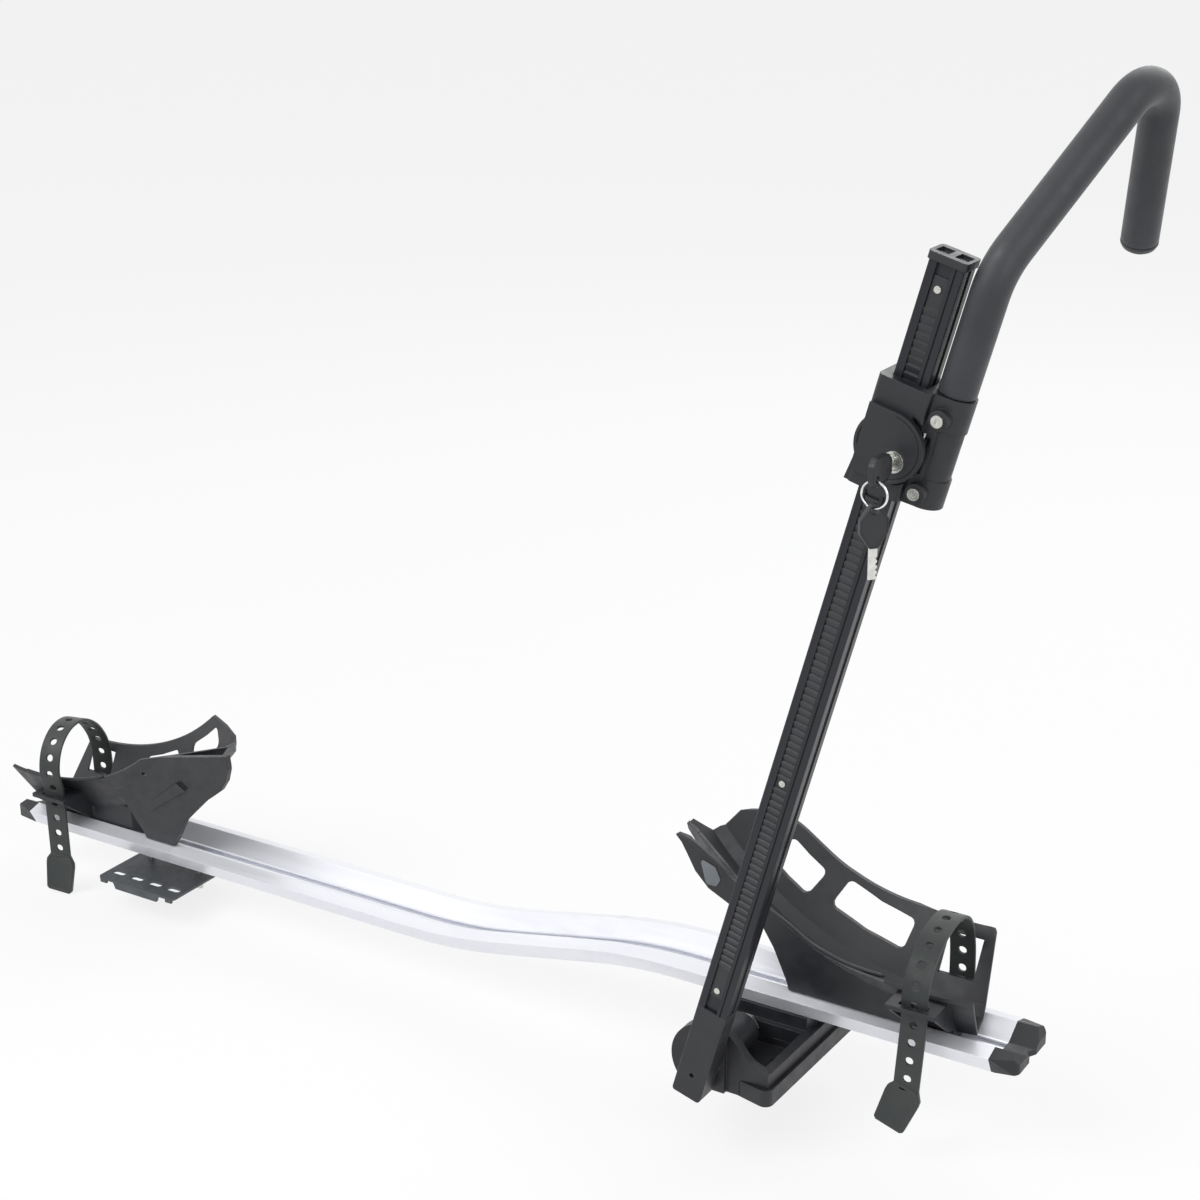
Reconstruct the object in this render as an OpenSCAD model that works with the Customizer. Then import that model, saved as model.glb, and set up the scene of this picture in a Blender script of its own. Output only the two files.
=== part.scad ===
// Roof mounted bike carrier: twin-tube rail, two wheel cradles, folding mast and ratchet hook.
// Millimetres. X runs along the rail to the front, Y across the car, Z up.
// The origin is on the front crossbar's top, under the mast's fold axis, on the rail's centre line.

/* [Rail] */
// Rear end of the aluminium rail
rail_rear = -1057; // [-1120:1:-1000]
// Front end of the aluminium rail
rail_front = 264; // [220:1:320]
// How far the front straight lies above the rear one
rail_rise = 48.8; // [30:0.1:70]
// Where the bend starts on the rear straight
bend_start = -449; // [-520:1:-400]
// Radius of both bends at the ridge line
bend_r = 570; // [400:5:800]
// Slope of the rail between the bends, in degrees
bend_angle = 11.5; // [8:0.1:16]
// Height of the ridges above the rail's underside
ridge_h = 24.2; // [20:0.1:30]
// Wall of the rail's tubes
rail_wall = 1.9; // [1.5:0.1:3]
// Half the width over the widest edges
rail_half = 46; // [40:0.5:52]
// Length of each end cap
cap_len = 29; // [20:1:45]

/* [Front foot] */
// Height of the lower tier
base_h = 18.5; // [14:0.5:24]
// Height of the upper tier's rim
rim_h = 34; // [28:0.5:40]
// Radius of the round cheek behind the mast
cheek_r = 41.5; // [38:0.5:50]
// Height of the fold axis above the crossbar
pivot_z = 31.9; // [28:0.1:40]
// Radius of the pivot shaft
shaft_r = 8; // [6:0.5:10]
// Radius of the hinge barrel
barrel_r = 19.5; // [16:0.5:22]
// Crossbar bolt spacing along the rail
foot_bolt_dx = 70; // [60:1:76]
// Crossbar bolt spacing across the rail
foot_bolt_dy = 126; // [120:1:130]
// Radius of the crossbar bolt holes
foot_bolt_r = 4.25; // [3:0.05:5]

/* [Mast] */
// Forward lean of the mast at rest, in degrees
lean = 15.9; // [0:0.1:30]
// Width of the mast along the rail
mast_w = 33; // [28:0.5:40]
// Depth of the mast across the rail
mast_d = 26; // [22:0.5:32]
// Y of the mast's front face
mast_front = -172; // [-190:0.5:-160]
// Top of the mast tube, measured from the fold axis
mast_top = 878; // [800:1:920]
// Top of the plain boot at the mast's foot
shoe_top = 82; // [60:1:110]
// Pitch of the rack's teeth
tooth_pitch = 7.4; // [5:0.1:10]

/* [Head and hook] */
// Bottom of the head above the fold axis
head_bottom = 670; // [600:1:700]
// Height of the head
head_h = 102; // [90:1:130]
// Offset of the hook tube's straight from the mast's centre line
hook_x = 37.8; // [34:0.1:42]
// Y of the hook tube's straight
hook_y = -155.4; // [-165:0.1:-145]
// Radius of the steel hook tube
hook_tube_r = 12.5; // [10:0.1:14]
// Radius over the hook's soft sleeve
sleeve_r = 17; // [14:0.1:20]
// Turn of the hook's plane towards the front, in degrees
hook_turn = 10; // [0:1:25]

/* [Wheel cradles] */
// Wheel radius at the floor of the trough
wheel_r = 352; // [330:1:370]
// X of the front wheel's axle
front_axle = 196; // [150:1:230]
// X of the rear wheel's axle
rear_axle = -1024; // [-1060:1:-980]
// Wall of the cradles
cradle_t = 4; // [3:0.1:6]
// Height of the cradle's level rim above the ridges
cradle_rim = 142; // [120:0.5:160]
// Width of the rubber straps
strap_w = 28; // [20:1:35]
// Thickness of the rubber straps
strap_t = 3.6; // [2:0.1:5]

/* [Rear clamp] */
// X of the rear crossbar
clamp_x = -853.5; // [-900:0.5:-600]
// Length of the clamp plate along the rail
plate_len = 125; // [100:1:150]
// Half the clamp plate's width across the rail
plate_half = 73; // [60:1:80]
// Gap between the rail's underside and the plate
clamp_gap = 25.6; // [15:0.1:40]
// Thickness of the clamp plate
plate_t = 3; // [2:0.5:5]
// Distance between the outer slots along the rail
slot_outer = 91; // [80:1:100]
// Distance between the inner slots along the rail
slot_inner = 30.4; // [25:0.1:40]
// Distance between the two rows of slots across the rail
slot_rows = 104; // [96:1:120]
// Half width of the slots
slot_r = 4.6; // [3:0.1:6]
// Length of the slots
slot_len = 20; // [14:1:26]

/* [Hidden] */
$fn = 64;

black = [0.10, 0.10, 0.11];
dark = [0.16, 0.16, 0.17];
silver = [0.85, 0.86, 0.88];
steel = [0.62, 0.63, 0.65];
zinc = [0.75, 0.74, 0.70];

gap = 0.35;          // between pieces that move past each other
fit = 0.05;          // radial play of a turning shaft
touch = 0.02;        // play of a pressed or screwed piece in its hole
thinner = 0.1;       // how much less wall a bend has than the straights it joins
inside = 0.5;        // how far a bend reaches into those straights
radian = 180 / PI;   // degrees
reach = 400;         // longer than anything that a cut goes through

// Shared small fasteners
bolt_r = 4;
nut_r = 7.5;
nut_h = 6.5;

// Rail section, measured from the ridge line
ridge_y = 28.8;
ridge_front_z = ridge_h + rail_rise;
groove_y = 7.3;
groove_z = -13.6;
widest_z = -5.4;
bottom_y = 36.6;
slot_mouth = 4.6;
slot_half = 8.6;
lip_t = 1.6;
web_top = -18.2;
web_bottom = -19.8;
top_slot_z = groove_z - lip_t;
low_slot_z = -ridge_h + lip_t;
bend_rise = bend_r * (1 - cos(bend_angle));
mid_len = (rail_rise - 2 * bend_rise) / sin(bend_angle);
bend_end = bend_start + 2 * bend_r * sin(bend_angle) + mid_len * cos(bend_angle);

// Foot plan corners: x, y, corner radius
foot_left = -46;
foot_right = 74;
foot_plan = [[foot_left, -118, 9], [foot_right - 2, -144, 9], [foot_right + 2, 72, 9], [foot_left, 72, 9]];
tier_step = 4;
tier_plan = [[foot_left + tier_step, -113, 7], [foot_right - 6, -138.2, 7],
    [foot_right - 2, 68, 7], [foot_left + tier_step, 68, 7]];
mast_back = mast_front + mast_d;
cheek_front = mast_back + 5;
cheek_back = cheek_front + 15;
pit_left = -34;
pit_right = 58;
pit_near = -118;
pit_wall = -46;
pit_floor = 10;
barrel_end = -66;
barrel_grooves = [-cheek_back - 14, -cheek_back - 9];
saddle_y = 40;
foot_bolt_x = 7;
foot_bolt_y = -9;
foot_t_x = [-24, 46];
foot_roof = 40;
rib_half = 9;
foot_bolt_end = 5.1;

// Mast section
rack_left = -8.5;
rack_w = 14.3;
rack_floor = mast_front + 3.2;
tooth_root = rack_floor - 1.2;
tooth_tip = mast_front + 0.4;
rack_low = shoe_top + 18;
rack_high = mast_top - 12;
teeth_from = rack_low + 35;
teeth_n = floor((rack_high - 26 - teeth_from) / tooth_pitch);
rivet_s = [rack_low + 8, rack_low + 256, rack_high - 11];
rivet_x = rack_left + rack_w / 2;
mast_wall = 2.4;
hollow_left = -mast_w / 2 + mast_wall;
hollow_right = mast_w / 2 - 3.8;
hollow_front = rack_floor + mast_wall;
hollow_back = mast_back - mast_wall;
shoe_low = -27;
spigot = 40;
shaft_front = mast_front + 5;
peep_r = 2.6;

// Head and lever
head_top = head_bottom + head_h;
head_front = mast_front - 11;
head_back = mast_back + 8.5;
lobe_r = 18.5;
waist = 1.3;
screw_s = [head_bottom + 14, head_top - 18.7];
screw_boss_r = 9;
neck_x = 20;
neck_y = mast_front - 5;
head_left = -25.5;
head_right = 26;
lever_s = head_bottom + 46;
lever_cx = 5;
lever_r = 32;
lever_left = -22.5;
lever_front = head_front - 7;
lever_back = head_front - 0.4;
pin_x = 28;
pin_y = mast_front - 4.5;
pin_r = 2;
pin_half = 21;
knuckle_r = 4.2;
lock_x = 14.2;
lock_s = lever_s - 9.4;
lock_r = 7;
pawl_x = rivet_x;
pawl_w = 9;
pawl_h = 16;

// Hook centre line in its own plane: first straight up, second straight aside, then down again
hook_a1 = 42.3;
hook_a2 = 116.4;
hook_r1 = 60;
hook_r2 = 38;
hook_s0 = head_bottom + 2;
hook_s1 = head_top + 90.2;
hook_len2 = 159.5;
hook_len3 = 131;
plug_len = 9;

// Key ring, hung from the bow's hole
hole_y = lever_front - 36;
hole_r = 3.5;
ring_r = 12;
wire_r = 1.1;

// Cradle section: Y across and radius from the axle
near_depth = 47;
floor_half = 14;
near_slope = 31 / near_depth;
skirt_more = 4;
far_crease = [25, wheel_r - 9];
far_top = [70, wheel_r - 74];
seat_y = 26;
ledge_z = 43;
ledge_t = 5;
ledge_half = 27;
ledge_edge = -77;
tail_y = -65;
strap_hole_r = 4.5;
strap_pitch = 21;
cradle_bolt_x = [-100, -10];
t_nut_len = 16;
t_nut_h = 2.1;
cbore_z = -7;

// Clamp
clamp_bolt_dx = 80;
clamp_drop = 10;
bolt_end = 1.4;
plate_top = -clamp_gap;
lip_h = 8;

// Point list with rounded corners: each entry is x, y, radius
function unit(v) = v / norm(v);
function corner(a, b, c, n) =
    let (p = [b[0], b[1]])
    let (u = unit([a[0], a[1]] - p))
    let (v = unit([c[0], c[1]] - p))
    let (half = acos(u * v) / 2)
    let (mid = p + unit(u + v) * b[2] / sin(half))
    let (s = p + u * b[2] / tan(half) - mid)
    let (e = p + v * b[2] / tan(half) - mid)
    let (a0 = atan2(s[1], s[0]))
    let (turn = atan2(s[0] * e[1] - s[1] * e[0], s * e))
    [for (i = [0:n]) mid + b[2] * [cos(a0 + turn * i / n), sin(a0 + turn * i / n)]];
function rounded(p, n = 6) =
    [for (i = [0:len(p) - 1])
        for (q = corner(p[(i + len(p) - 1) % len(p)], p[i], p[(i + 1) % len(p)], n)) q];

// Normal of an open line of points at one of its points, mitred so that the wall keeps its thickness
function side(a, b) = let (d = unit(b - a)) [-d[1], d[0]];
function mitre(p, i) =
    i == 0 ? side(p[0], p[1])
    : i == len(p) - 1 ? side(p[i - 1], p[i])
    : let (n1 = side(p[i - 1], p[i])) let (n2 = side(p[i], p[i + 1])) (n1 + n2) / (1 + n1 * n2);
function shifted(p, d) = [for (i = [0:len(p) - 1]) p[i] + d * mitre(p, i)];
function backwards(p) = [for (i = [len(p) - 1:-1:0]) p[i]];
// Closed band of even thickness along a line of points
function band(p, d0, d1) = concat(shifted(p, d0), backwards(shifted(p, d1)));
// Convex outline moved inwards
function inset(p, d) =
    let (n = len(p))
    [for (i = [0:n - 1])
        let (n1 = side(p[(i + n - 1) % n], p[i]))
        let (n2 = side(p[i], p[(i + 1) % n]))
        p[i] + d * (n1 + n2) / (1 + n1 * n2)];
// Smooth line through a few points
smooth_n = 5;
function smooth(p, n = smooth_n) =
    concat([for (i = [0:len(p) - 2])
        let (a = p[max(i - 1, 0)])
        let (b = p[i])
        let (c = p[i + 1])
        let (d = p[min(i + 2, len(p) - 1)])
        for (k = [0:n - 1])
            let (t = k / n)
            0.5 * (2 * b + (c - a) * t + (2 * a - 5 * b + 4 * c - d) * t * t
                + (3 * b - 3 * c + d - a) * t * t * t)], [p[len(p) - 1]]);

// Draws along X: the outline's first axis becomes Y and its second Z
module along_x(from, to) {
    translate([from, 0, 0])
        rotate([90, 0, 90])
            linear_extrude(to - from)
                children();
}

// Draws along Y: the outline's first axis becomes X and its second Z
module along_y(from, to) {
    translate([0, to, 0])
        rotate([90, 0, 0])
            linear_extrude(to - from)
                children();
}

// A round bar along Y
module rod_y(x, z, r, from, to) {
    translate([x, to, z])
        rotate([90, 0, 0])
            cylinder(r = r, h = to - from);
}

// The mast's own frame: X across the mast, Z up along it from the fold axis
module on_mast() {
    translate([0, 0, pivot_z])
        rotate([0, lean, 0])
            children();
}

module block(x0, x1, y0, y1, z0, z1) {
    translate([x0, y0, z0])
        cube([x1 - x0, y1 - y0, z1 - z0]);
}

module hex_nut(z0, h, hole) {
    translate([0, 0, z0])
        linear_extrude(h)
            difference() {
                circle(r = nut_r, $fn = 6);
                circle(r = hole);
            }
}

// Rail
cavity = inset([[slot_half, groove_z + 1], [ridge_y, 0], [rail_half, widest_z], [bottom_y, -ridge_h],
    [slot_half, -ridge_h]], -rail_wall);
half_outline = [[slot_mouth, top_slot_z], [slot_mouth, groove_z], [groove_y, groove_z], [ridge_y, 0],
    [rail_half, widest_z], [bottom_y, -ridge_h], [slot_mouth, -ridge_h], [slot_mouth, low_slot_z],
    [slot_half, low_slot_z], [slot_half, web_bottom]];
top_slot = [[-slot_half, top_slot_z], [-slot_half, web_top], [slot_half, web_top], [slot_half, top_slot_z]];
function mirrored(p) = [for (q = backwards(p)) [-q[0], q[1]]];
rail_outline = concat(half_outline, mirrored(half_outline), top_slot);

module rail_section(less = 0) {
    difference() {
        polygon(inset(rail_outline, -less));
        polygon(inset(cavity, less));
        polygon(mirrored(inset(cavity, less)));
    }
}

// A bend of the rail, from an angle about its centre
module rail_bend(from, turn) {
    more = inside / bend_r * radian;
    rotate([90, 0, 0])
        rotate([0, 0, from - more])
            rotate_extrude(angle = bend_angle + 2 * more)
                translate([bend_r, 0])
                    rotate(turn)
                        rail_section(thinner);
}

module rail() {
    color(silver) {
        translate([0, 0, ridge_h])
            along_x(rail_rear, bend_start)
                rail_section();
        translate([bend_start, 0, ridge_h + bend_r])
            rail_bend(-90, 90);
        translate([bend_start + bend_r * sin(bend_angle), 0, ridge_h + bend_rise])
            rotate([0, -bend_angle, 0])
                along_x(0, mid_len)
                    rail_section();
        translate([bend_end, 0, ridge_front_z - bend_r])
            rail_bend(90, -90);
        translate([0, 0, ridge_front_z])
            along_x(bend_end, rail_front)
                rail_section();
    }
}

// End cap: a blunt cover over both tubes, with a tongue in each
nose_y = rail_half - 9;
nose_slope = 7;
nose_rise = 11;
nose_plan = rounded([[-1, -rail_half - 1, 0.5], [cap_len, -nose_y, 6], [cap_len, -9, 4], [cap_len - 7, 0, 4],
    [cap_len, 9, 4], [cap_len, nose_y, 6], [-1, rail_half + 1, 0.5]]);
module rail_cap(z) {
    half = [[groove_y, groove_z], [ridge_y, 0], [rail_half, widest_z], [bottom_y, -ridge_h]];
    tongue = inset(cavity, -0.3);
    color(black)
        translate([0, 0, z]) {
            difference() {
                intersection() {
                    along_x(0, cap_len)
                        polygon(concat(half, mirrored(half)));
                    translate([0, 0, -ridge_h - 1])
                        linear_extrude(ridge_h + 2)
                            polygon(nose_plan);
                }
                // Slope at the front of the top
                translate([cap_len - nose_slope, 0, 0])
                    rotate([0, -39, 0])
                        block(0, reach, -reach, reach, -reach, reach);
                translate([4, 0, -ridge_h])
                    rotate([0, -nose_rise, 0])
                        block(0, reach, -reach, reach, -reach, 0);
            }
            along_x(-22, 1)
                polygon(tongue);
            along_x(-22, 1)
                polygon(mirrored(tongue));
        }
}

module rail_cap_front() {
    translate([rail_front, 0, 0])
        rail_cap(ridge_front_z);
}

module rail_cap_rear() {
    translate([rail_rear, 0, 0])
        rotate([0, 0, 180])
            rail_cap(ridge_h);
}

// Front foot
module crossbar_holes() {
    for (x = [-1, 1])
        for (y = [-1, 1])
            translate([foot_bolt_x + x * foot_bolt_dx / 2, foot_bolt_y + y * foot_bolt_dy / 2, -1])
                cylinder(r = foot_bolt_r, h = base_h + 2);
}

screw_at = [[-38, -104], [60, -122], [-38, 60], [60, 60]];
screw_r = 2.5;

module foot_base() {
    color(black)
        difference() {
            linear_extrude(base_h)
                polygon(rounded(foot_plan));
            difference() {
                block(pit_left, pit_right, pit_near, pit_wall, pit_floor, base_h + 1);
                block(-14, 14, -106, -84, 0, base_h + 1);
            }
            rod_y(0, pivot_z, barrel_r, -130, barrel_end);
            block(pit_left, -rib_half, -30, 30, -1, base_h + 1);
            block(rib_half, pit_right, -30, 30, -1, base_h + 1);
            block(pit_left, pit_right, 44, 62, pit_floor, base_h + 1);
            crossbar_holes();
            for (p = screw_at)
                translate([p[0], p[1], 0]) {
                    translate([0, 0, -1])
                        cylinder(r = screw_r + 0.2, h = base_h + 2);
                    translate([0, 0, -1])
                        cylinder(r = 4.8, h = 5);
                }
        }
}

// Side view of the cheek: round over the fold axis, then a ramp down to the rim
ramp_top = 58;
cheek_low = 0.5;
arc_end = 180 + asin((pivot_z - cheek_low) / cheek_r);
cheek_arc = [for (a = [ramp_top:6:arc_end - 1]) [cheek_r * cos(a), pivot_z + cheek_r * sin(a)]];
ramp = smooth([[foot_right - 6, rim_h], [52, 39], [42, 46], [33, 57], cheek_arc[0]]);
cheek_line = concat([[foot_right - 6, cheek_low], [foot_right - 6, rim_h - 1]], ramp, cheek_arc,
    [[cheek_r * cos(arc_end), cheek_low]]);

module foot_housing() {
    color(black)
        difference() {
            union() {
                translate([0, 0, base_h])
                    linear_extrude(rim_h - base_h)
                        polygon(rounded(tier_plan));
                block(pit_left - 4, pit_right + 4, -saddle_y, saddle_y, rim_h - 1, rail_rise);
                difference() {
                    along_y(cheek_front, cheek_back)
                        polygon(cheek_line);
                    translate([0, 0, -1])
                        linear_extrude(base_h + 1)
                            polygon(rounded(foot_plan));
                    block(20, 80, cheek_front - 1, -136, 0, 100);
                }
            }
            block(pit_left, pit_right, cheek_back, pit_wall, base_h - 1, rim_h + 1);
            block(pit_left, pit_right, 44, 62, base_h - 1, rim_h + 1);
            block(pit_left, pit_right, -30, 30, base_h - 1, foot_roof);
            rod_y(0, pivot_z, shaft_r + fit, cheek_front - 1, cheek_back + 1);
            for (x = foot_t_x)
                translate([x, 0, foot_roof - 1])
                    cylinder(r = bolt_r + touch, h = 20);
            for (p = screw_at)
                translate([p[0], p[1], base_h - 1])
                    cylinder(r = screw_r + touch, h = 11);
        }
}

module foot_screws() {
    color(zinc)
        for (p = screw_at)
            translate([p[0], p[1], 0]) {
                translate([0, 0, 1])
                    cylinder(r = 4.4, h = 3);
                translate([0, 0, 2])
                    cylinder(r = screw_r, h = base_h + 6);
            }
}

module hinge_barrel() {
    color(dark)
        translate([0, 0, pivot_z])
            rotate([90, 0, 0])
                rotate_extrude()
                    difference() {
                        translate([shaft_r + fit, -barrel_end])
                            square([barrel_r - shaft_r - fit, barrel_end - cheek_back]);
                        for (y = barrel_grooves)
                            translate([barrel_r - 1.2, y])
                                square([5, 2.5]);
                    }
}

// Bolt with a flat square head that hangs in the rail's lower slot
module t_bolt(tip) {
    translate([0, 0, low_slot_z]) {
        block(-t_nut_len / 2, t_nut_len / 2, -slot_half + gap, slot_half - gap, 0,
            web_bottom - low_slot_z - gap);
        translate([0, 0, tip])
            cylinder(r = bolt_r, h = 1 - tip);
    }
}

module foot_t_bolts() {
    color(zinc)
        for (x = foot_t_x)
            translate([x, 0, ridge_front_z])
                t_bolt(foot_roof - nut_h - foot_bolt_end - ridge_front_z - low_slot_z);
}

module foot_nuts() {
    color(zinc)
        for (x = foot_t_x)
            translate([x, 0, 0])
                hex_nut(foot_roof - nut_h, nut_h, bolt_r + touch);
}

// Mast
mast_plan = rounded([[-mast_w / 2, mast_front, 1.5], [mast_w / 2, mast_front, 1.5],
    [mast_w / 2, mast_back, 1.5], [-mast_w / 2, mast_back, 1.5]], 3);

module mast_tube() {
    groove_x = 9;
    color(black)
        on_mast()
            translate([0, 0, shoe_top])
                linear_extrude(mast_top - shoe_top)
                    difference() {
                        polygon(mast_plan);
                        translate([rack_left, mast_front - 1])
                            square([rack_w, rack_floor - mast_front + 1]);
                        translate([groove_x, mast_front - 1])
                            square([1.6, 2.4]);
                        translate([mast_w / 2 - 1.2, mast_front + 9])
                            square([3, 8]);
                        translate([hollow_left, hollow_front])
                            square([hollow_right - hollow_left, hollow_back - hollow_front]);
                    }
}

module rack_strip() {
    side_play = 0.15;
    teeth = [for (i = [0:teeth_n - 1])
        for (k = [0, 1])
            [teeth_from + (i + k * 0.8) * tooth_pitch, k == 0 ? tooth_root : tooth_tip]];
    color(dark)
        on_mast()
            difference() {
                translate([rack_left + side_play, 0, 0])
                    rotate([0, -90, 0])
                        mirror([0, 0, 1])
                            linear_extrude(rack_w - 2 * side_play)
                                polygon(concat([[rack_high, rack_floor], [rack_low, rack_floor],
                                    [rack_low, tooth_root]], teeth,
                                    [[teeth_from + teeth_n * tooth_pitch, tooth_root],
                                     [rack_high, tooth_root]]));
                block(rack_left - 1, rack_left + rack_w + 1, mast_front - 2, tooth_root, rivet_s[1] - 5,
                    rivet_s[1] + 5);
            }
}

module rack_rivets() {
    color(zinc)
        on_mast()
            for (s = rivet_s)
                rod_y(rivet_x, s, 3.2, tooth_tip, tooth_root);
}

module mast_cap() {
    edge = 2;
    color(black)
        on_mast()
            difference() {
                union() {
                    translate([0, 0, mast_top])
                        linear_extrude(7)
                            polygon(rounded([[-mast_w / 2 - edge, mast_front - edge, 4],
                                [mast_w / 2 + edge, mast_front - edge, 4],
                                [mast_w / 2 + edge, mast_back + edge, 4],
                                [-mast_w / 2 - edge, mast_back + edge, 4]]));
                    block(hollow_left + 0.6, hollow_right - 0.6, hollow_front + 0.6, hollow_back - 0.6,
                        mast_top - 18, mast_top + 1);
                }
                for (x = [-9, 9])
                    block(x - 6, x + 6, mast_front + 5, mast_back - 5, mast_top + 4, mast_top + 9);
            }
}

module hinge_shoe() {
    color(black)
        on_mast()
            difference() {
                union() {
                    intersection() {
                        translate([0, 0, shoe_low])
                            linear_extrude(shoe_top - shoe_low)
                                polygon(mast_plan);
                        // The lower corners are round, so that they clear the crossbar as the mast folds
                        along_y(mast_front - 1, mast_back + 1)
                            polygon(rounded([[-mast_w / 2, shoe_low, 4], [mast_w / 2, shoe_low, 4],
                                [mast_w / 2, shoe_top + 1, 0.5], [-mast_w / 2, shoe_top + 1, 0.5]]));
                    }
                    block(hollow_left + touch, hollow_right - touch, hollow_front + touch, hollow_back - touch,
                        shoe_top - 1, shoe_top + spigot);
                }
                rod_y(0, 0, shaft_r + touch, shaft_front, mast_back + 1);
                rod_y(0, 0, peep_r, mast_front - 1, shaft_front + 1);
            }
}

module pivot_shaft() {
    color(steel)
        rod_y(0, pivot_z, shaft_r, shaft_front + 0.1, barrel_end + 16);
}

module hinge_washer() {
    color(steel)
        difference() {
            rod_y(0, pivot_z, mast_w / 2 - 1, mast_back, cheek_front - gap);
            rod_y(0, pivot_z, shaft_r + touch, mast_back - 1, cheek_front + 1);
        }
}

module pivot_nut() {
    color(zinc)
        translate([0, barrel_end + gap, pivot_z])
            rotate([-90, 0, 0])
                difference() {
                    union() {
                        cylinder(r = 15, h = 2.5);
                        cylinder(r = 14, h = 11, $fn = 6);
                    }
                    translate([0, 0, -1])
                        cylinder(r = shaft_r + touch, h = 20);
                }
}

// Head
module head_plan() {
    difference() {
        union() {
            polygon(rounded([[head_left, head_front, 5], [head_right, head_front, 3],
                [head_right, head_back, 3], [head_left, head_back, 6]]));
            polygon([[neck_x, neck_y], [hook_x, hook_y - lobe_r], [hook_x, hook_y + lobe_r],
                     [neck_x, head_back]]);
            translate([hook_x, hook_y])
                circle(r = lobe_r);
        }
        translate([-mast_w / 2 - gap, mast_front - gap])
            square([mast_w + 2 * gap, mast_d + 2 * gap]);
        translate([hook_x, hook_y])
            circle(r = hook_tube_r + touch);
    }
}

module head_body() {
    relief_y = head_front + 4.4;
    color(black)
        on_mast()
            difference() {
                union() {
                    translate([0, 0, head_bottom])
                        linear_extrude(head_h)
                            head_plan();
                    // Lip that stands out at the lower left
                    along_y(head_front + 2, mast_front + 10)
                        polygon([[head_left - 3, head_bottom], [head_left + 5, head_bottom],
                            [head_left + 5, head_bottom + 20], [head_left - 0.5, head_bottom + 20]]);
                    for (s = screw_s)
                        difference() {
                            rod_y(hook_x, s, screw_boss_r, head_front + 1, hook_y);
                            translate([hook_x, hook_y, s - 2 * screw_boss_r])
                                cylinder(r = hook_tube_r + touch, h = 4 * screw_boss_r);
                        }
                }
                // Waist between the two clamp lobes
                translate([hook_x, hook_y, screw_s[0] + 12])
                    difference() {
                        block(0, 40, -40, 40, 0, screw_s[1] - screw_s[0] - 24);
                        translate([0, 0, -1])
                            cylinder(r = lobe_r - waist, h = head_h);
                    }
                // Room for the lever's round end, which dips as the lever opens
                intersection() {
                    rod_y(lever_cx, lever_s, lever_r + 2.5, head_front - 20, relief_y);
                    block(16, 90, head_front - 20, relief_y, head_bottom, head_top);
                }
                // Pocket for the lever's knuckles
                block(pin_x - 6, pin_x + 6, head_front - 5, pin_y + knuckle_r + 0.6, lever_s - 17,
                    lever_s + 17);
                // Pawl window through the front wall
                block(pawl_x - pawl_w / 2 - 1, pawl_x + pawl_w / 2 + 1, head_front - 5, mast_front + 1,
                    lever_s - pawl_h / 2 - 1, lever_s + pawl_h / 2 + 1);
                translate([pin_x, pin_y, lever_s - pin_half])
                    cylinder(r = pin_r + touch, h = 2 * pin_half);
                for (s = screw_s)
                    rod_y(hook_x, s, 3 + touch, head_front - 5, hook_y);
            }
}

module clamp_screws() {
    color(zinc)
        on_mast()
            for (s = screw_s)
                difference() {
                    union() {
                        rod_y(hook_x, s, 5.5, head_front - 2, head_front + 1);
                        rod_y(hook_x, s, 3, head_front, hook_y - hook_tube_r - 0.1);
                    }
                    translate([hook_x, head_front, s])
                        rotate([90, 0, 0])
                            cylinder(r = 2.6, h = 5, $fn = 6);
                }
}

// Hook in its own plane: X sideways from the straight, Z up the mast
module hook_place() {
    on_mast()
        translate([hook_x, hook_y, 0])
            rotate([0, 0, 90 - hook_turn])
                children();
}

bend1_end = [hook_r1 * (1 - cos(hook_a1)), hook_s1 + hook_r1 * sin(hook_a1)];
bend2_start = bend1_end + hook_len2 * [sin(hook_a1), cos(hook_a1)];
bend2_mid = bend2_start + hook_r2 * [cos(hook_a1), -sin(hook_a1)];
down_a = hook_a1 + hook_a2;
down_start = bend2_mid + hook_r2 * [-cos(down_a), sin(down_a)];

// A bent tube along the hook's line, from height s0 on the first straight to the end of the down leg
module hook_line(outer, inner, s0, down) {
    // Each bend is a hair thinner than the straights and ends a little inside them
    module ring(less) {
        difference() {
            circle(r = outer - less);
            circle(r = inner + less);
        }
    }
    module bend(r, from, turn) {
        more = inside / r * radian;
        rotate([90, 0, 0])
            rotate([0, 0, from - more])
                rotate_extrude(angle = turn + 2 * more)
                    translate([r, 0])
                        ring(thinner);
    }
    translate([0, 0, s0])
        linear_extrude(hook_s1 - s0)
            ring(0);
    translate([hook_r1, 0, hook_s1])
        bend(hook_r1, 180 - hook_a1, hook_a1);
    translate([bend1_end[0], 0, bend1_end[1]])
        rotate([0, hook_a1, 0])
            linear_extrude(hook_len2)
                ring(0);
    translate([bend2_mid[0], 0, bend2_mid[1]])
        bend(hook_r2, 180 - down_a, hook_a2);
    translate([down_start[0], 0, down_start[1]])
        rotate([0, down_a, 0])
            linear_extrude(down)
                ring(0);
}

module hook_tube() {
    color(steel)
        hook_place()
            hook_line(hook_tube_r, hook_tube_r - 2, hook_s0, hook_len3);
}

module hook_sleeve() {
    color(dark)
        hook_place()
            hook_line(sleeve_r, hook_tube_r + touch, head_top + 0.5, hook_len3);
}

module hook_plug() {
    color(black)
        hook_place()
            translate([down_start[0], 0, down_start[1]])
                rotate([0, down_a, 0])
                    translate([0, 0, hook_len3])
                        rotate_extrude()
                            polygon([[0, -14], [hook_tube_r - 2.1, -14], [hook_tube_r - 2.1, 0], [sleeve_r, 0],
                                [sleeve_r, 2], [sleeve_r - 1.6, 5.4], [sleeve_r - 5, 8],
                                [sleeve_r - 9, plug_len], [0, plug_len]]);
}

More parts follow.
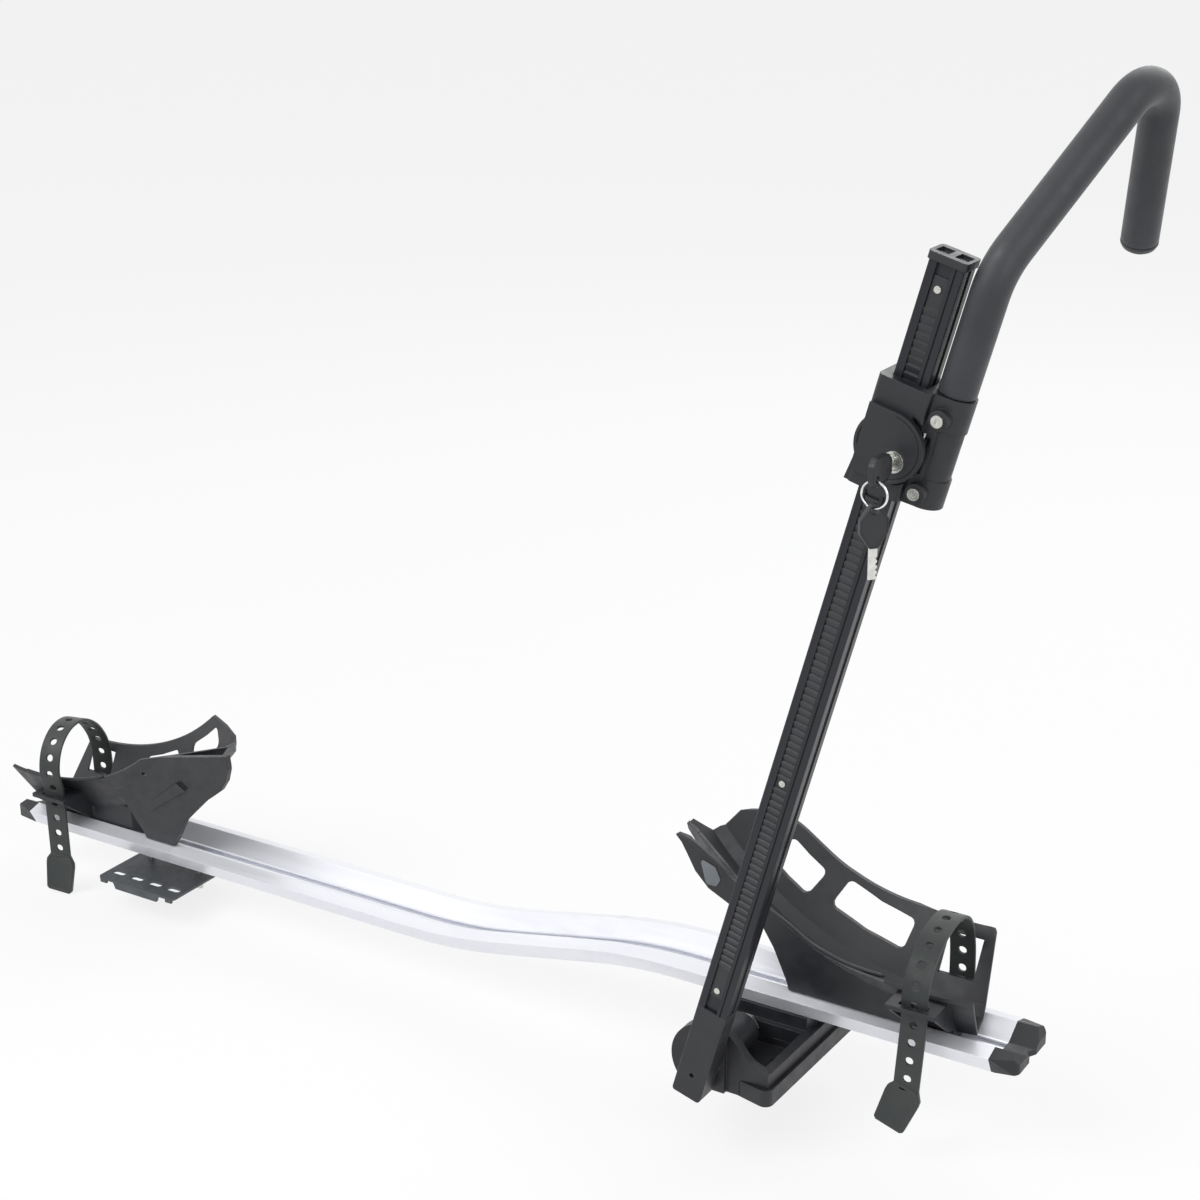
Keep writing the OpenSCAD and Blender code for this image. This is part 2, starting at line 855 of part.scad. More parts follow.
module lever_pin() {
    color(steel)
        on_mast()
            translate([pin_x, pin_y, lever_s - pin_half])
                cylinder(r = pin_r, h = 2 * pin_half);
}

// Close-wound return spring on the pin, between the lever's knuckles
module lever_spring() {
    wire = 0.8;
    color(steel)
        on_mast()
            translate([pin_x, pin_y, lever_s])
                rotate_extrude()
                    for (i = [-4:4])
                        translate([pin_r + 0.15 + wire, i * 1.5])
                            circle(r = wire, $fn = 24);
}

module lever() {
    color(black)
        on_mast()
            difference() {
                union() {
                    rod_y(lever_cx, lever_s, lever_r, lever_front, lever_back);
                    block(lever_left, lever_cx, lever_front, lever_back, lever_s - lever_r, lever_s + lever_r);
                    for (s = [-1, 1])
                        translate([pin_x, 0, lever_s + s * 12 - 4]) {
                            translate([0, pin_y, 0])
                                cylinder(r = knuckle_r, h = 8);
                            block(-knuckle_r, knuckle_r, lever_back - 1, pin_y, 0, 8);
                        }
                }
                translate([pin_x, pin_y, lever_s - 30])
                    cylinder(r = pin_r + fit, h = 60);
                rod_y(lock_x, lock_s, lock_r + fit, lever_front - 1, lever_back + 1);
                // Finger groove behind the straight edge
                block(lever_left - 1, lever_left + 5, lever_back - 2, lever_back + 1, lever_s - 26,
                    lever_s + 26);
                // Shallow line inside the round edge
                difference() {
                    rod_y(lever_cx, lever_s, lever_r - 3, lever_front - 1, lever_front + 0.8);
                    rod_y(lever_cx, lever_s, lever_r - 4.2, lever_front - 2, lever_front + 2);
                    block(lever_left, lever_cx, lever_front - 2, lever_front + 2, head_bottom, head_top);
                }
            }
}

module pawl() {
    color(steel)
        on_mast()
            block(pawl_x - pawl_w / 2, pawl_x + pawl_w / 2, lever_back, tooth_tip - gap, lever_s - pawl_h / 2,
                lever_s + pawl_h / 2);
}

module lock_bezel() {
    color(zinc)
        on_mast()
            difference() {
                rod_y(lock_x, lock_s, lock_r + 2.6, lever_front - 2, lever_front);
                rod_y(lock_x, lock_s, lock_r + gap, lever_front - 3, lever_front + 1);
            }
}

module lock_core() {
    color(zinc)
        on_mast()
            difference() {
                rod_y(lock_x, lock_s, lock_r, lever_front - 1.4, lever_back);
                block(lock_x - 1.3, lock_x + 1.3, lever_front - 3, lever_back - 1, lock_s - 4.2, lock_s + 4.2);
            }
}

// Keys: the first stands in the lock, the spare hangs below it on the ring
module at_lock() {
    on_mast()
        translate([lock_x, 0, lock_s])
            rotate([0, -lean, 0])
                children();
}

module key_blade() {
    color(silver)
        on_mast()
            block(lock_x - 1.1, lock_x + 1.1, lever_front - 15, lever_back - 1.3, lock_s - 3.8, lock_s + 3.8);
}

bow_end = lever_front - 44;
bow_start = lever_front - 9;
bow_plan = rounded([[bow_end, -7, 5], [bow_end + 6, -13, 6], [bow_start - 7, -12, 5], [bow_start, -6, 3],
    [bow_start, 6, 3], [bow_start - 7, 12, 5], [bow_end + 6, 13, 6], [bow_end, 7, 5]]);
hole_z = -6;

module key_bow() {
    color(black)
        difference() {
            at_lock()
                difference() {
                    along_x(-2.6, 2.6)
                        polygon(bow_plan);
                    translate([-5, hole_y, hole_z])
                        rotate([0, 90, 0])
                            cylinder(r = hole_r, h = 10);
                }
            on_mast()
                block(lock_x - 1.15, lock_x + 1.15, lever_front - 15.1, lever_front, lock_s - 3.9,
                    lock_s + 3.9);
        }
}

ring_top = hole_z - hole_r + wire_r + 2 * gap;

module key_ring() {
    color(silver)
        at_lock()
            translate([0, hole_y, ring_top - ring_r])
                rotate([90, 0, 0])
                    rotate_extrude()
                        translate([ring_r, 0])
                            circle(r = wire_r, $fn = 24);
}

fob_turn = -42;
fob_eye_r = 4.3;
fob_drop = 1;
fob_hole = ring_top - 2 * ring_r - fob_drop;
fob_plan = rounded([[0, 10, 6], [13, -8, 4], [13, -20, 4], [4, -34, 2], [-4, -34, 2], [-13, -20, 4],
    [-13, -8, 4]]);

module at_fob() {
    at_lock()
        translate([0, hole_y, fob_hole])
            rotate([0, 0, fob_turn])
                children();
}

module spare_key_fob() {
    color(black)
        at_fob()
            difference() {
                along_x(-2.4, 2.4)
                    polygon(fob_plan);
                translate([-5, 0, 0])
                    rotate([0, 90, 0])
                        cylinder(r = fob_eye_r, h = 10);
                block(-1.15, 1.15, -3.9, 3.9, -40, -23.9);
            }
}

module spare_key_blade() {
    color(silver)
        at_fob()
            difference() {
                block(-1.1, 1.1, -3.8, 3.8, -62, -24);
                for (z = [-60, -55, -50, -45])
                    translate([-3, 3.8, z])
                        rotate([45, 0, 0])
                            cube([6, 2.4, 2.4]);
            }
}

// Wheel cradles, drawn around the point under the axle at the ridges' height. The inner end is at -X.
function near_lip(depth) = [-floor_half - depth * near_slope, wheel_r - depth];
function trough_line(depth) =
    [far_top, far_crease, [floor_half, wheel_r], [-floor_half, wheel_r], near_lip(depth)];
function as_profile(p) = [for (q = p) [q[1], -q[0]]];
end_angle = 56;
out_angle = 11;

// Sweeps a profile of radius and Y about the axle between two angles from straight down
module about_axle(from, to) {
    translate([0, 0, wheel_r])
        rotate([90, 0, 0])
            rotate([0, 0, -90 - to])
                rotate_extrude(angle = to - from)
                    children();
}

// Window in the far wall: two depths above the floor, two angles from straight down and the corners' radius
function below_axle(depth, a) = [-(wheel_r - depth) * sin(a), wheel_r - (wheel_r - depth) * cos(a)];
module far_window(w) {
    mid = (w[2] + w[3]) / 2;
    along_y(30, 90)
        polygon(rounded([for (q = [[w[0], w[2], w[4]], [w[0], mid, 30], [w[0], w[3], w[4]], [w[1], w[3], w[4]],
            [w[1], mid, 30], [w[1], w[2], w[4]]]) concat(below_axle(q[0], q[1]), q[2])], 3));
}
front_windows = [[59, 30, 11.8, 27.8, 6], [51, 23, 32.3, 42, 6]];
rear_windows = [[48, 30, 16.5, 28, 5], [46, 22, 33, 44, 7]];

groove_slope = -groove_z / (ridge_y - groove_y);
seat_in = slot_half;
seat_low = groove_z + (seat_in - groove_y) * groove_slope + gap * 1.25;
seat_high = groove_z + (seat_y - groove_y) * groove_slope + gap * 1.25;
seat_line = [[-seat_y, 30], [-seat_y, seat_high], [-seat_in, seat_low], [seat_in, seat_low],
    [seat_y, seat_high], [seat_y, 30]];
seat_x = [-128, 22];
outer_slant = 12;
strap_play = 1.5;
strap_window = [-20, 19];
strap_window_low = 26;

// Where a strap is threaded: X of its tail and its turn about the tail
module at_strap(place) {
    translate([place[0], tail_y, 0])
        rotate([0, 0, -place[1]])
            translate([0, -tail_y, 0])
                children();
}

module cradle(skirt, skirt_lean, depth, windows, outer_x, place, window_top) {
    line = trough_line(depth);
    ledge_x = [place[0] - ledge_half, place[0] + ledge_half];
    color(black)
        difference() {
            union() {
                about_axle(-out_angle, end_angle)
                    polygon(as_profile(band(line, 0, -cradle_t)));
                // Seat in the rail's groove
                along_x(seat_x[0], seat_x[1])
                    polygon(seat_line);
                // Near skirt, leaning out from the ridge to the lip
                translate([0, -ridge_y - 2, gap])
                    rotate([skirt_lean, 0, 0])
                        along_y(-cradle_t, skirt_more)
                            polygon(skirt);
                // Far skirt
                along_y(ridge_y, ridge_y + cradle_t)
                    polygon([[-120, gap], [18, gap], [26, 40], [-140, 60]]);
                // Strap ledge with its two gussets
                block(ledge_x[0], ledge_x[1], ledge_edge, -38, ledge_z - ledge_t, ledge_z);
                for (x = [ledge_x[0], ledge_x[1] - cradle_t])
                    along_x(x, x + cradle_t)
                        polygon([[ledge_edge + 1, ledge_z - ledge_t + 1],
                                 [-30, ledge_z - ledge_t + 1], [-30, 6],
                            [-37, 6]]);
            }
            // Keeps the wheel's room clear
            about_axle(-out_angle - 8, end_angle + 10)
                polygon(concat(as_profile(line), [[wheel_r - depth, 110], [180, 110], [180, -far_top[0]]]));
            // Slanting outer end
            translate([outer_x, 0, 0])
                rotate([0, 0, outer_slant])
                    block(0, reach, -reach, reach, -reach, reach);
            for (w = windows)
                far_window(w);
            // Strap slots
            at_strap(place) {
                block(strap_window[0], strap_window[1], 35, 90, strap_window_low, window_top);
                block(-strap_w / 2 - strap_play, strap_w / 2 + strap_play, tail_y - 5, tail_y + strap_t / 2, 0,
                    80);
            }
            for (x = cradle_bolt_x)
                translate([x, 0, cbore_z]) {
                    cylinder(r = 7.4, h = 60);
                    translate([0, 0, -20])
                        cylinder(r = bolt_r + 0.2, h = 30);
                }
        }
}

module cradle_bolts() {
    color(zinc)
        for (x = cradle_bolt_x)
            translate([x, 0, cbore_z]) {
                difference() {
                    cylinder(r = 6.8, h = 4);
                    translate([0, 0, 1.5])
                        cylinder(r = 2.9, h = 5, $fn = 6);
                }
                translate([0, 0, web_top - cbore_z + 0.6])
                    cylinder(r = bolt_r, h = cbore_z - web_top);
            }
}

module t_nuts() {
    color(zinc)
        for (x = cradle_bolt_x)
            difference() {
                translate([x, 0, 0])
                    block(-t_nut_len / 2, t_nut_len / 2, -slot_half + gap, slot_half - gap,
                        top_slot_z - gap - t_nut_h, top_slot_z - gap);
                translate([x, 0, -30])
                    cylinder(r = bolt_r + touch, h = 30);
            }
}

tab_h = 50;
// The strap lines' first point only sets the direction in which the loop leaves the straight tail
loop_from = smooth_n;
// Rubber strap: a row of holes, a loop over the wheel and a hanging tail with a wide pull tab
module strap(line, tab_bottom, place, tab_lean) {
    loop = smooth(line);
    // The tail is straight where it lies against the ledge's slot, and the loop starts above the ledge
    path = concat([[tail_y, tab_bottom + 30]], [for (i = [loop_from:len(loop) - 1]) loop[i]]);
    hole_at = [for (i = [3:4:len(path) - 11]) i];
    tail_holes = [for (z = [tab_bottom + 60:strap_pitch:ledge_z - 16]) z];
    color(dark)
        at_strap(place)
            difference() {
                union() {
                    along_x(-strap_w / 2, strap_w / 2)
                        polygon(band(path, -strap_t / 2, strap_t / 2));
                    translate([0, tail_y + strap_t / 2 + 0.7, tab_bottom + tab_h])
                        rotate([90, tab_lean, 0])
                            linear_extrude(strap_t + 1.4)
                                polygon(rounded([[-19, 0, 8], [-17, -tab_h, 9], [17, -tab_h, 9], [19, 0, 8]]));
                }
                for (z = tail_holes)
                    rod_y(0, z, strap_hole_r, tail_y - 10, tail_y + 10);
                for (i = hole_at)
                    let (n = side(path[i], path[i + 1]))
                        let (mid = (path[i] + path[i + 1]) / 2)
                            translate([0, mid[0], mid[1]])
                                rotate([atan2(-n[0], n[1]), 0, 0])
                                    cylinder(r = strap_hole_r, h = 12, center = true);
            }
}

// Strap places: X of the tail and turn about it, in degrees
front_strap_at = [-4, 0];
front_tab = -104;
front_tab_lean = 17;
front_strap_line = [[tail_y, 10], [tail_y, 46], [-58, 72], [-32, 96], [4, 106.5], [30, 101], [45, 84],
    [50.5, 64], [53, 46], [54, 26]];
rear_strap_at = [-37, 14];
rear_tab = -94;
rear_tab_lean = -8;
rear_strap_line = [[tail_y, 10], [tail_y, 48], [-71, 76], [-61, 104], [-36, 121], [-4, 121], [25, 104],
    [44, 80], [51, 60], [53, 44], [53.5, 26]];

module at_front() {
    translate([front_axle, 0, ridge_front_z])
        children();
}

module at_rear() {
    translate([rear_axle, 0, ridge_h])
        mirror([1, 0, 0])
            children();
}

front_skirt = [[-287, 190], [-287, 154], [-280, 146], [-274, 134], [-265, 115], [-250, 98], [-221, 83],
    [-186, 67], [-175, 47], [-161, 10], [-159, 0], [-8, 0], [34, 60], [34, 140]];
rear_skirt = [[-112, 150], [-112, 80], [-158, 6], [-160, 0], [-206, 0], [-232, 42], [-272, 80], [-287, 91],
    [-300, 101], [-311, 116], [-318, 134], [-318, 165]];
front_outer = 40;
rear_outer = 33;
rear_depth = 58;
rear_far_depth = 61;
front_window_top = 62;
rear_window_top = 53;
rear_lean = 6.5;
peephole = [-176, 94];
peephole_r = 3.2;
bar_h = 4;

// Rims in side view, from the outer end to the inner one
front_far_rim = [[-30, 76], [-73, 80], [-107, 88], [-136, 99.5], [-155, 109.5], [-175, 123],
    [-202, cradle_rim], [-222, cradle_rim + 7], [-242, cradle_rim + 11], [-reach, cradle_rim + 11]];
front_near_rim = [[-46, 48.5], [-92, 51], [-129, 62], [-154, 77], [-178, 90], [-219, 111], [-234, 125],
    [-253, 138], [-269, 148], [-287, 153], [-reach, 160]];
rear_near_rim = [[-130, cradle_rim - 20], [-160, cradle_rim - 28], [-290, cradle_rim + 3],
    [-reach, cradle_rim + 30]];
// Inner ends in plan, from the far side to the near one
front_end = [[-218, 80], [-272, 21], [-290, -5], [-290, -reach]];
rear_end = [[-184, 80], [-264, 28], [-320, -45], [-320, -reach]];

// Everything above a rim line
module above(rim) {
    polygon(concat(rim, [[-reach, reach], [rim[0][0], reach]]));
}

// Everything beyond an inner end
module beyond(end) {
    translate([0, 0, -reach])
        linear_extrude(2 * reach)
            polygon(concat(end, [[-reach, -reach], [-reach, end[0][1]]]));
}

module front_cradle() {
    corner_x = front_outer - far_top[0] * tan(outer_slant);
    corner_z = wheel_r - far_top[1];
    at_front()
        difference() {
            cradle(front_skirt, 5, near_depth, front_windows, front_outer, front_strap_at, front_window_top);
            along_y(20, 120)
                above(smooth(front_far_rim));
            along_y(-120, -15)
                above(smooth(front_near_rim));
            beyond(front_end);
            // Rounded outer corner of the far wall
            along_y(40, 120)
                difference() {
                    translate([corner_x - 10, corner_z - 10])
                        square(40);
                    translate([corner_x - 10, corner_z - 10])
                        circle(r = 11);
                }
        }
}

module rear_cradle() {
    at_rear() {
        difference() {
            cradle(rear_skirt, rear_lean, rear_depth, rear_windows, rear_outer, rear_strap_at, rear_window_top);
            // Lower far wall with a level inner end
            about_axle(-out_angle - 8, end_angle + 10)
                translate([0, -90])
                    square([wheel_r - rear_far_depth, 60]);
            block(-reach, -150, 20, 120, cradle_rim - 4, reach);
            along_y(-120, 20)
                above(rear_near_rim);
            beyond(rear_end);
            rod_y(peephole[0], peephole[1], peephole_r, -80, -20);
        }
        // Raised bar across the shield
        color(black)
            translate([0, -ridge_y - 2, gap])
                rotate([rear_lean, 0, 0])
                    along_y(-cradle_t - bar_h, -1)
                        polygon([[-177, 44], [-188, 64], [-232, 98], [-244, 90]]);
    }
}

module front_cradle_bolts() {
    at_front()
        cradle_bolts();
}

module rear_cradle_bolts() {
    at_rear()
        cradle_bolts();
}

module front_t_nuts() {
    at_front()
        t_nuts();
}

module rear_t_nuts() {
    at_rear()
        t_nuts();
}

module front_strap() {
    at_front()
        strap(front_strap_line, front_tab, front_strap_at, front_tab_lean);
}

module rear_strap() {
    at_rear()
        strap(rear_strap_line, rear_tab, rear_strap_at, rear_tab_lean);
}

// Rear clamp
module clamp_t_bolts() {
    color(zinc)
        for (s = [-1, 1])
            translate([clamp_x + s * clamp_bolt_dx / 2, 0, ridge_h])
                t_bolt(plate_top - plate_t - nut_h - clamp_drop - bolt_end - lip_t);
}

module stadium() {
    run = slot_len / 2 - slot_r;
    translate([-run, -slot_r])
        square([2 * run, 2 * slot_r]);
    for (s = [-1, 1])
        translate([s * run, 0])
            circle(r = slot_r);
}

module clamp_plate() {
    lip_x = 38;
    ear_x = 52;
    half = plate_len / 2;
    color(steel)
        translate([clamp_x, 0, plate_top - plate_t])
            difference() {
                union() {
                    linear_extrude(plate_t)
                        polygon(rounded([[-half, -plate_half, 5], [half, -plate_half, 5], [half, plate_half, 5],
                            [-half, plate_half, 5]]));
                    for (s = [-1, 1]) {
                        y0 = s > 0 ? plate_half - plate_t : -plate_half;
                        along_y(y0, y0 + plate_t)
                            polygon([[-lip_x, 1], [-lip_x + 4, -lip_h], [lip_x - 4, -lip_h], [lip_x, 1]]);
                        for (e = [-1, 1])
                            block(e * (ear_x + 2) - 5, e * (ear_x + 2) + 5, y0, y0 + plate_t, -4, 1);
                    }
                }
                for (s = [-1, 1])
                    for (dx = [-slot_outer, -slot_inner, slot_inner, slot_outer])
                        translate([dx / 2, s * slot_rows / 2, -1])
                            linear_extrude(plate_t + 2)
                                stadium();
                for (s = [-1, 1])
                    translate([s * clamp_bolt_dx / 2, 0, -1])
                        cylinder(r = bolt_r + 0.3, h = plate_t + 2);
            }
}

module clamp_nuts() {
    color(zinc)
        for (s = [-1, 1])
            translate([clamp_x + s * clamp_bolt_dx / 2, 0, plate_top - plate_t - nut_h])
                hex_nut(0, nut_h, bolt_r + fit);
}

rail();
rail_cap_front();
rail_cap_rear();
foot_base();
foot_housing();
foot_screws();
hinge_barrel();
foot_t_bolts();
foot_nuts();
mast_tube();
rack_strip();
rack_rivets();
mast_cap();
hinge_shoe();
pivot_shaft();
hinge_washer();
pivot_nut();
head_body();
clamp_screws();
hook_tube();
hook_sleeve();
hook_plug();
lever_pin();
lever_spring();
lever();
pawl();
lock_bezel();
lock_core();
key_blade();
key_bow();
key_ring();
spare_key_fob();
spare_key_blade();
front_cradle();
front_strap();
front_cradle_bolts();
front_t_nuts();
rear_cradle();
rear_strap();
rear_cradle_bolts();
rear_t_nuts();
clamp_t_bolts();
clamp_plate();
clamp_nuts();
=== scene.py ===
# %% [markdown]
# # A roof carrier for one bicycle
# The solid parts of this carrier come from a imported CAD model. Blender gives them their finishes, and makes
# the soft pieces again as what they are: rubber straps and a rubber sleeve. Each step first says what the
# piece is on the real carrier, and then why it is made this way.

# %% Load the solid model
import math

import bmesh
import bpy
from mathutils import Matrix, Vector


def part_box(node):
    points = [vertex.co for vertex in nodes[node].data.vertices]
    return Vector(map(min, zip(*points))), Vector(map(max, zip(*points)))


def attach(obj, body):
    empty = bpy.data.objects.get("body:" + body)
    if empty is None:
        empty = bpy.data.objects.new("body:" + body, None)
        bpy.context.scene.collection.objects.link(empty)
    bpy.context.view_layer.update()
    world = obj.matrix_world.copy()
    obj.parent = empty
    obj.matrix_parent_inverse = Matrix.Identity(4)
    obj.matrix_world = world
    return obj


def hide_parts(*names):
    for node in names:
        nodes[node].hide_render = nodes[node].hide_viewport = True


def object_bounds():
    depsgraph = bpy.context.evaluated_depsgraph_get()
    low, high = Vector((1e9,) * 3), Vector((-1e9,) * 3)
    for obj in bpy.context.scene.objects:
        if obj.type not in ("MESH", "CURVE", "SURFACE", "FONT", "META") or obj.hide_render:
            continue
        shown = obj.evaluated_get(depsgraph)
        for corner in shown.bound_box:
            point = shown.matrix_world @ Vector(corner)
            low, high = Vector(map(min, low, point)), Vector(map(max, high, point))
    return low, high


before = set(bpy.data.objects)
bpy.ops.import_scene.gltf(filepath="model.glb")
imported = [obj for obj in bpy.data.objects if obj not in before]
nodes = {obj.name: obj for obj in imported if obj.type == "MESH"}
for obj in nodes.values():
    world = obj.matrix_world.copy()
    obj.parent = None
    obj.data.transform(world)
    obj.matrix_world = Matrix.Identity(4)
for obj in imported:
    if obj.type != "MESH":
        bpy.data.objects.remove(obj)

cad_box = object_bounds()
scene = bpy.context.scene

# %% [markdown]
# ## Camera
# A product photograph is taken from one place, with one lens. The place and the lens were worked out from the
# photograph's straight edges. The camera's matrix is written from its three axes, so nothing has to be aimed.

# %% Place the camera
CAMERA_AT = Vector((0.9744, -1.8637, 1.2446))
AZIMUTH = math.radians(32.45)
ELEVATION = math.radians(19.84)
ROLL = math.radians(-0.76)
LENS_MM = 67.1
SENSOR_MM = 36
FAR_CLIP = 100

back = Vector((math.sin(AZIMUTH) * math.cos(ELEVATION), -math.cos(AZIMUTH) * math.cos(ELEVATION),
               math.sin(ELEVATION)))
level_right = Vector((math.cos(AZIMUTH), math.sin(AZIMUTH), 0))
level_up = back.cross(level_right)
right = level_right * math.cos(ROLL) + level_up * math.sin(ROLL)
up = level_up * math.cos(ROLL) - level_right * math.sin(ROLL)

lens = bpy.data.cameras.new("photo_lens")
lens.lens = LENS_MM
lens.sensor_width = SENSOR_MM
lens.clip_end = FAR_CLIP
camera = bpy.data.objects.new("photo_camera", lens)
axes = Matrix((right, up, back)).transposed().to_4x4()
camera.matrix_world = Matrix.Translation(CAMERA_AT) @ axes
scene.collection.objects.link(camera)
scene.camera = camera
print("camera at", tuple(round(v, 3) for v in CAMERA_AT))

# %% [markdown]
# ## Rubber straps
# Each wheel is held by a moulded rubber strap: a flat band with a row of holes, bent over the tyre, with a
# wide pull tab at the end of its hanging tail. A band with round holes could be cut with booleans, but those
# leave a messy mesh that bends badly. Here the band is laid out flat first, as a row of cells with a round
# hole in each, and every point is then carried onto the bent route. The cells stay tidy, so the band can be
# subdivided.

# %% The route of a strap
MM = 0.001
STRAP_WIDTH = 28
STRAP_THICK = 3.6
HOLE_RADIUS = 4.5
TAIL_Y = -65


def smooth_line(points, steps=14):
    """A smooth line through a few points. The first point only gives the direction at the second."""
    line = []
    for i in range(1, len(points) - 1):
        a, b, c = points[i - 1], points[i], points[i + 1]
        d = points[min(i + 2, len(points) - 1)]
        for k in range(steps):
            t = k / steps
            line.append(0.5 * (2 * b + (c - a) * t + (2 * a - 5 * b + 4 * c - d) * t * t
                               + (3 * b - 3 * c + d - a) * t ** 3))
    return line + [points[-1]]


def at_length(line, distance):
    """The point at a distance along a line."""
    for a, b in zip(line, line[1:]):
        step = (b - a).length
        if distance <= step or b is line[-1]:
            return a + (b - a) * (distance / step)
        distance -= step


# Routes of the straps, seen along the rail: across it and up from the rail's ridges
FRONT_ROUTE = [(TAIL_Y, 10), (TAIL_Y, 46), (-58, 72), (-32, 96), (4, 106.5), (30, 101), (45, 84), (50.5, 64),
               (53, 46), (54, 12)]
REAR_ROUTE = [(TAIL_Y, 10), (TAIL_Y, 48), (-71, 76), (-61, 104), (-36, 121), (-4, 121), (25, 104), (44, 80),
              (51, 60), (53, 44), (53.5, 14)]
# Each cradle: its body, the X of its axle, the way its outer end points and the height of the rail's ridges
FRONT = ("front_seat", 196, 1, 73.0)
REAR = ("rear_seat", -1024, -1, 24.2)
# Each strap: X of its tail from the axle, its turn about the tail and the tail's lean per millimetre of drop
FRONT_PLACE = (-4, 0, 0.075)
REAR_PLACE = (-37, math.radians(14), 0)
# Height under which a tail leans
TAIL_FROM = 20


def in_cradle(seat, x, y, z):
    """A point of a cradle, in metres."""
    _, axle_x, flip, ridge_z = seat
    return Vector(((axle_x + flip * x) * MM, y * MM, (ridge_z + z) * MM))


def in_strap(seat, place, across, y, z):
    """A point of a strap, which is turned about its tail and leans below TAIL_FROM."""
    x, turn, lean = place
    across += lean * min(0, z - TAIL_FROM)
    along = y - TAIL_Y
    return in_cradle(seat, x + across * math.cos(turn) + along * math.sin(turn),
                     TAIL_Y - across * math.sin(turn) + along * math.cos(turn), z)


print("route points:", len(FRONT_ROUTE), len(REAR_ROUTE))

# %% A flat band of cells with round holes
HOLE_PITCH = 21
HOLE_START = 6
CELL_SIDE = 4
# A stretch that is shorter than this gets no faces
SHORTEST = 0.01


def band_cells(length, hole_from):
    """Flat faces of the band: along it, across it. A cell with a hole has a ring of faces round the hole."""
    half = STRAP_WIDTH / 2
    across = [half * (2 * k / CELL_SIDE - 1) for k in range(CELL_SIDE + 1)]
    cells = max(1, int((length - hole_from) // HOLE_PITCH))
    edges = [hole_from + i * HOLE_PITCH for i in range(cells + 1)]
    faces = []
    for a, b in zip(edges, edges[1:]):
        along = [a + (b - a) * k / CELL_SIDE for k in range(CELL_SIDE + 1)]
        outer = ([(u, -half) for u in along[:-1]] + [(b, v) for v in across[:-1]]
                 + [(u, half) for u in reversed(along[1:])] + [(a, v) for v in reversed(across[1:])])
        mid = (a + b) / 2
        inner = []
        for u, v in outer:
            angle = math.atan2(v / half, (u - mid) / ((b - a) / 2))
            inner.append((mid + HOLE_RADIUS * math.cos(angle), HOLE_RADIUS * math.sin(angle)))
        n = len(outer)
        for i in range(n):
            j = (i + 1) % n
            middle_i = tuple((p + q) / 2 for p, q in zip(outer[i], inner[i]))
            middle_j = tuple((p + q) / 2 for p, q in zip(outer[j], inner[j]))
            faces.append([outer[i], outer[j], middle_j, middle_i])
            faces.append([middle_i, middle_j, inner[j], inner[i]])
    plain = [0, hole_from / 2, hole_from], [edges[-1], (edges[-1] + length) / 2, length]
    for stretch in plain:
        for a, b in zip(stretch, stretch[1:]):
            if b - a > SHORTEST:
                faces += [[(a, v), (b, v), (b, w), (a, w)] for v, w in zip(across, across[1:])]
    return faces


print("cells ready, pitch", HOLE_PITCH, "mm")

# %% Bend the band onto its route
# Lowest point of each pull tab, and how far above it the band ends inside the tab
FRONT_TAB, REAR_TAB = -104, -94
BAND_END = 46


def new_piece(name, mesh, body):
    piece = bpy.data.objects.new(name, mesh)
    scene.collection.objects.link(piece)
    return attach(piece, body)


def soften(piece, width_mm, angle=35):
    """Round the edges of a piece a little and shade it smoothly."""
    bevel = piece.modifiers.new("soft_edges", "BEVEL")
    bevel.width = width_mm * MM
    bevel.segments = 2
    bevel.limit_method = "ANGLE"
    bevel.angle_limit = math.radians(angle)
    for face in piece.data.polygons:
        face.use_smooth = True


def make_strap(name, node, seat, place, route, tab_bottom):
    line = [Vector((TAIL_Y, tab_bottom + BAND_END))] + smooth_line([Vector(p) for p in route])
    length = sum((b - a).length for a, b in zip(line, line[1:]))
    bm = bmesh.new()
    known = {}

    def corner(u, v):
        key = (round(u, 3), round(v, 3))
        if key not in known:
            p = at_length(line, u)
            known[key] = bm.verts.new(in_strap(seat, place, v, p.x, p.y))
        return known[key]

    for face in band_cells(length, HOLE_START):
        bm.faces.new([corner(*p) for p in face])
    bmesh.ops.recalc_face_normals(bm, faces=bm.faces)
    mesh = bpy.data.meshes.new(name)
    bm.to_mesh(mesh)
    bm.free()
    strap = new_piece(name, mesh, seat[0])
    thick = strap.modifiers.new("thickness", "SOLIDIFY")
    thick.thickness = STRAP_THICK * MM
    thick.offset = 0
    soften(strap, 0.7, 50)
    fine = strap.modifiers.new("fine", "SUBSURF")
    fine.levels = 1
    fine.render_levels = 1
    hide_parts(node)
    print(name, "length", round(length), "mm, faces", len(mesh.polygons))
    return strap


front_strap = make_strap("front_strap_rubber", "front_strap", FRONT, FRONT_PLACE, FRONT_ROUTE, FRONT_TAB)
rear_strap = make_strap("rear_strap_rubber", "rear_strap", REAR, REAR_PLACE, REAR_ROUTE, REAR_TAB)

# %% [markdown]
# The pull tab is thicker than the band, flares at its shoulders and has a raised border to grip. It is one
# outline, pulled to its thickness, whose two flat faces are inset and pushed in a little.

# %% Pull tabs
TAB_THICK = 5.0
TAB_PIVOT = 50
TAB_BORDER, TAB_SLOPE, TAB_DENT = 3.2, 0.8, 0.7
FRONT_TAB_LEAN, REAR_TAB_LEAN = math.radians(17), math.radians(-8)
TAB_OUTLINE = [(-13, 54), (-19, 44), (-19.5, 38), (-17.5, 3), (-14.5, 0), (14.5, 0), (17.5, 3), (19.5, 38),
               (19, 44), (13, 54)]


def join_rings(bm, first, second):
    """Faces between two closed rings of points."""
    for a, b, c, d in zip(first, first[1:] + first[:1], second[1:] + second[:1], second):
        bm.faces.new((a, b, c, d))


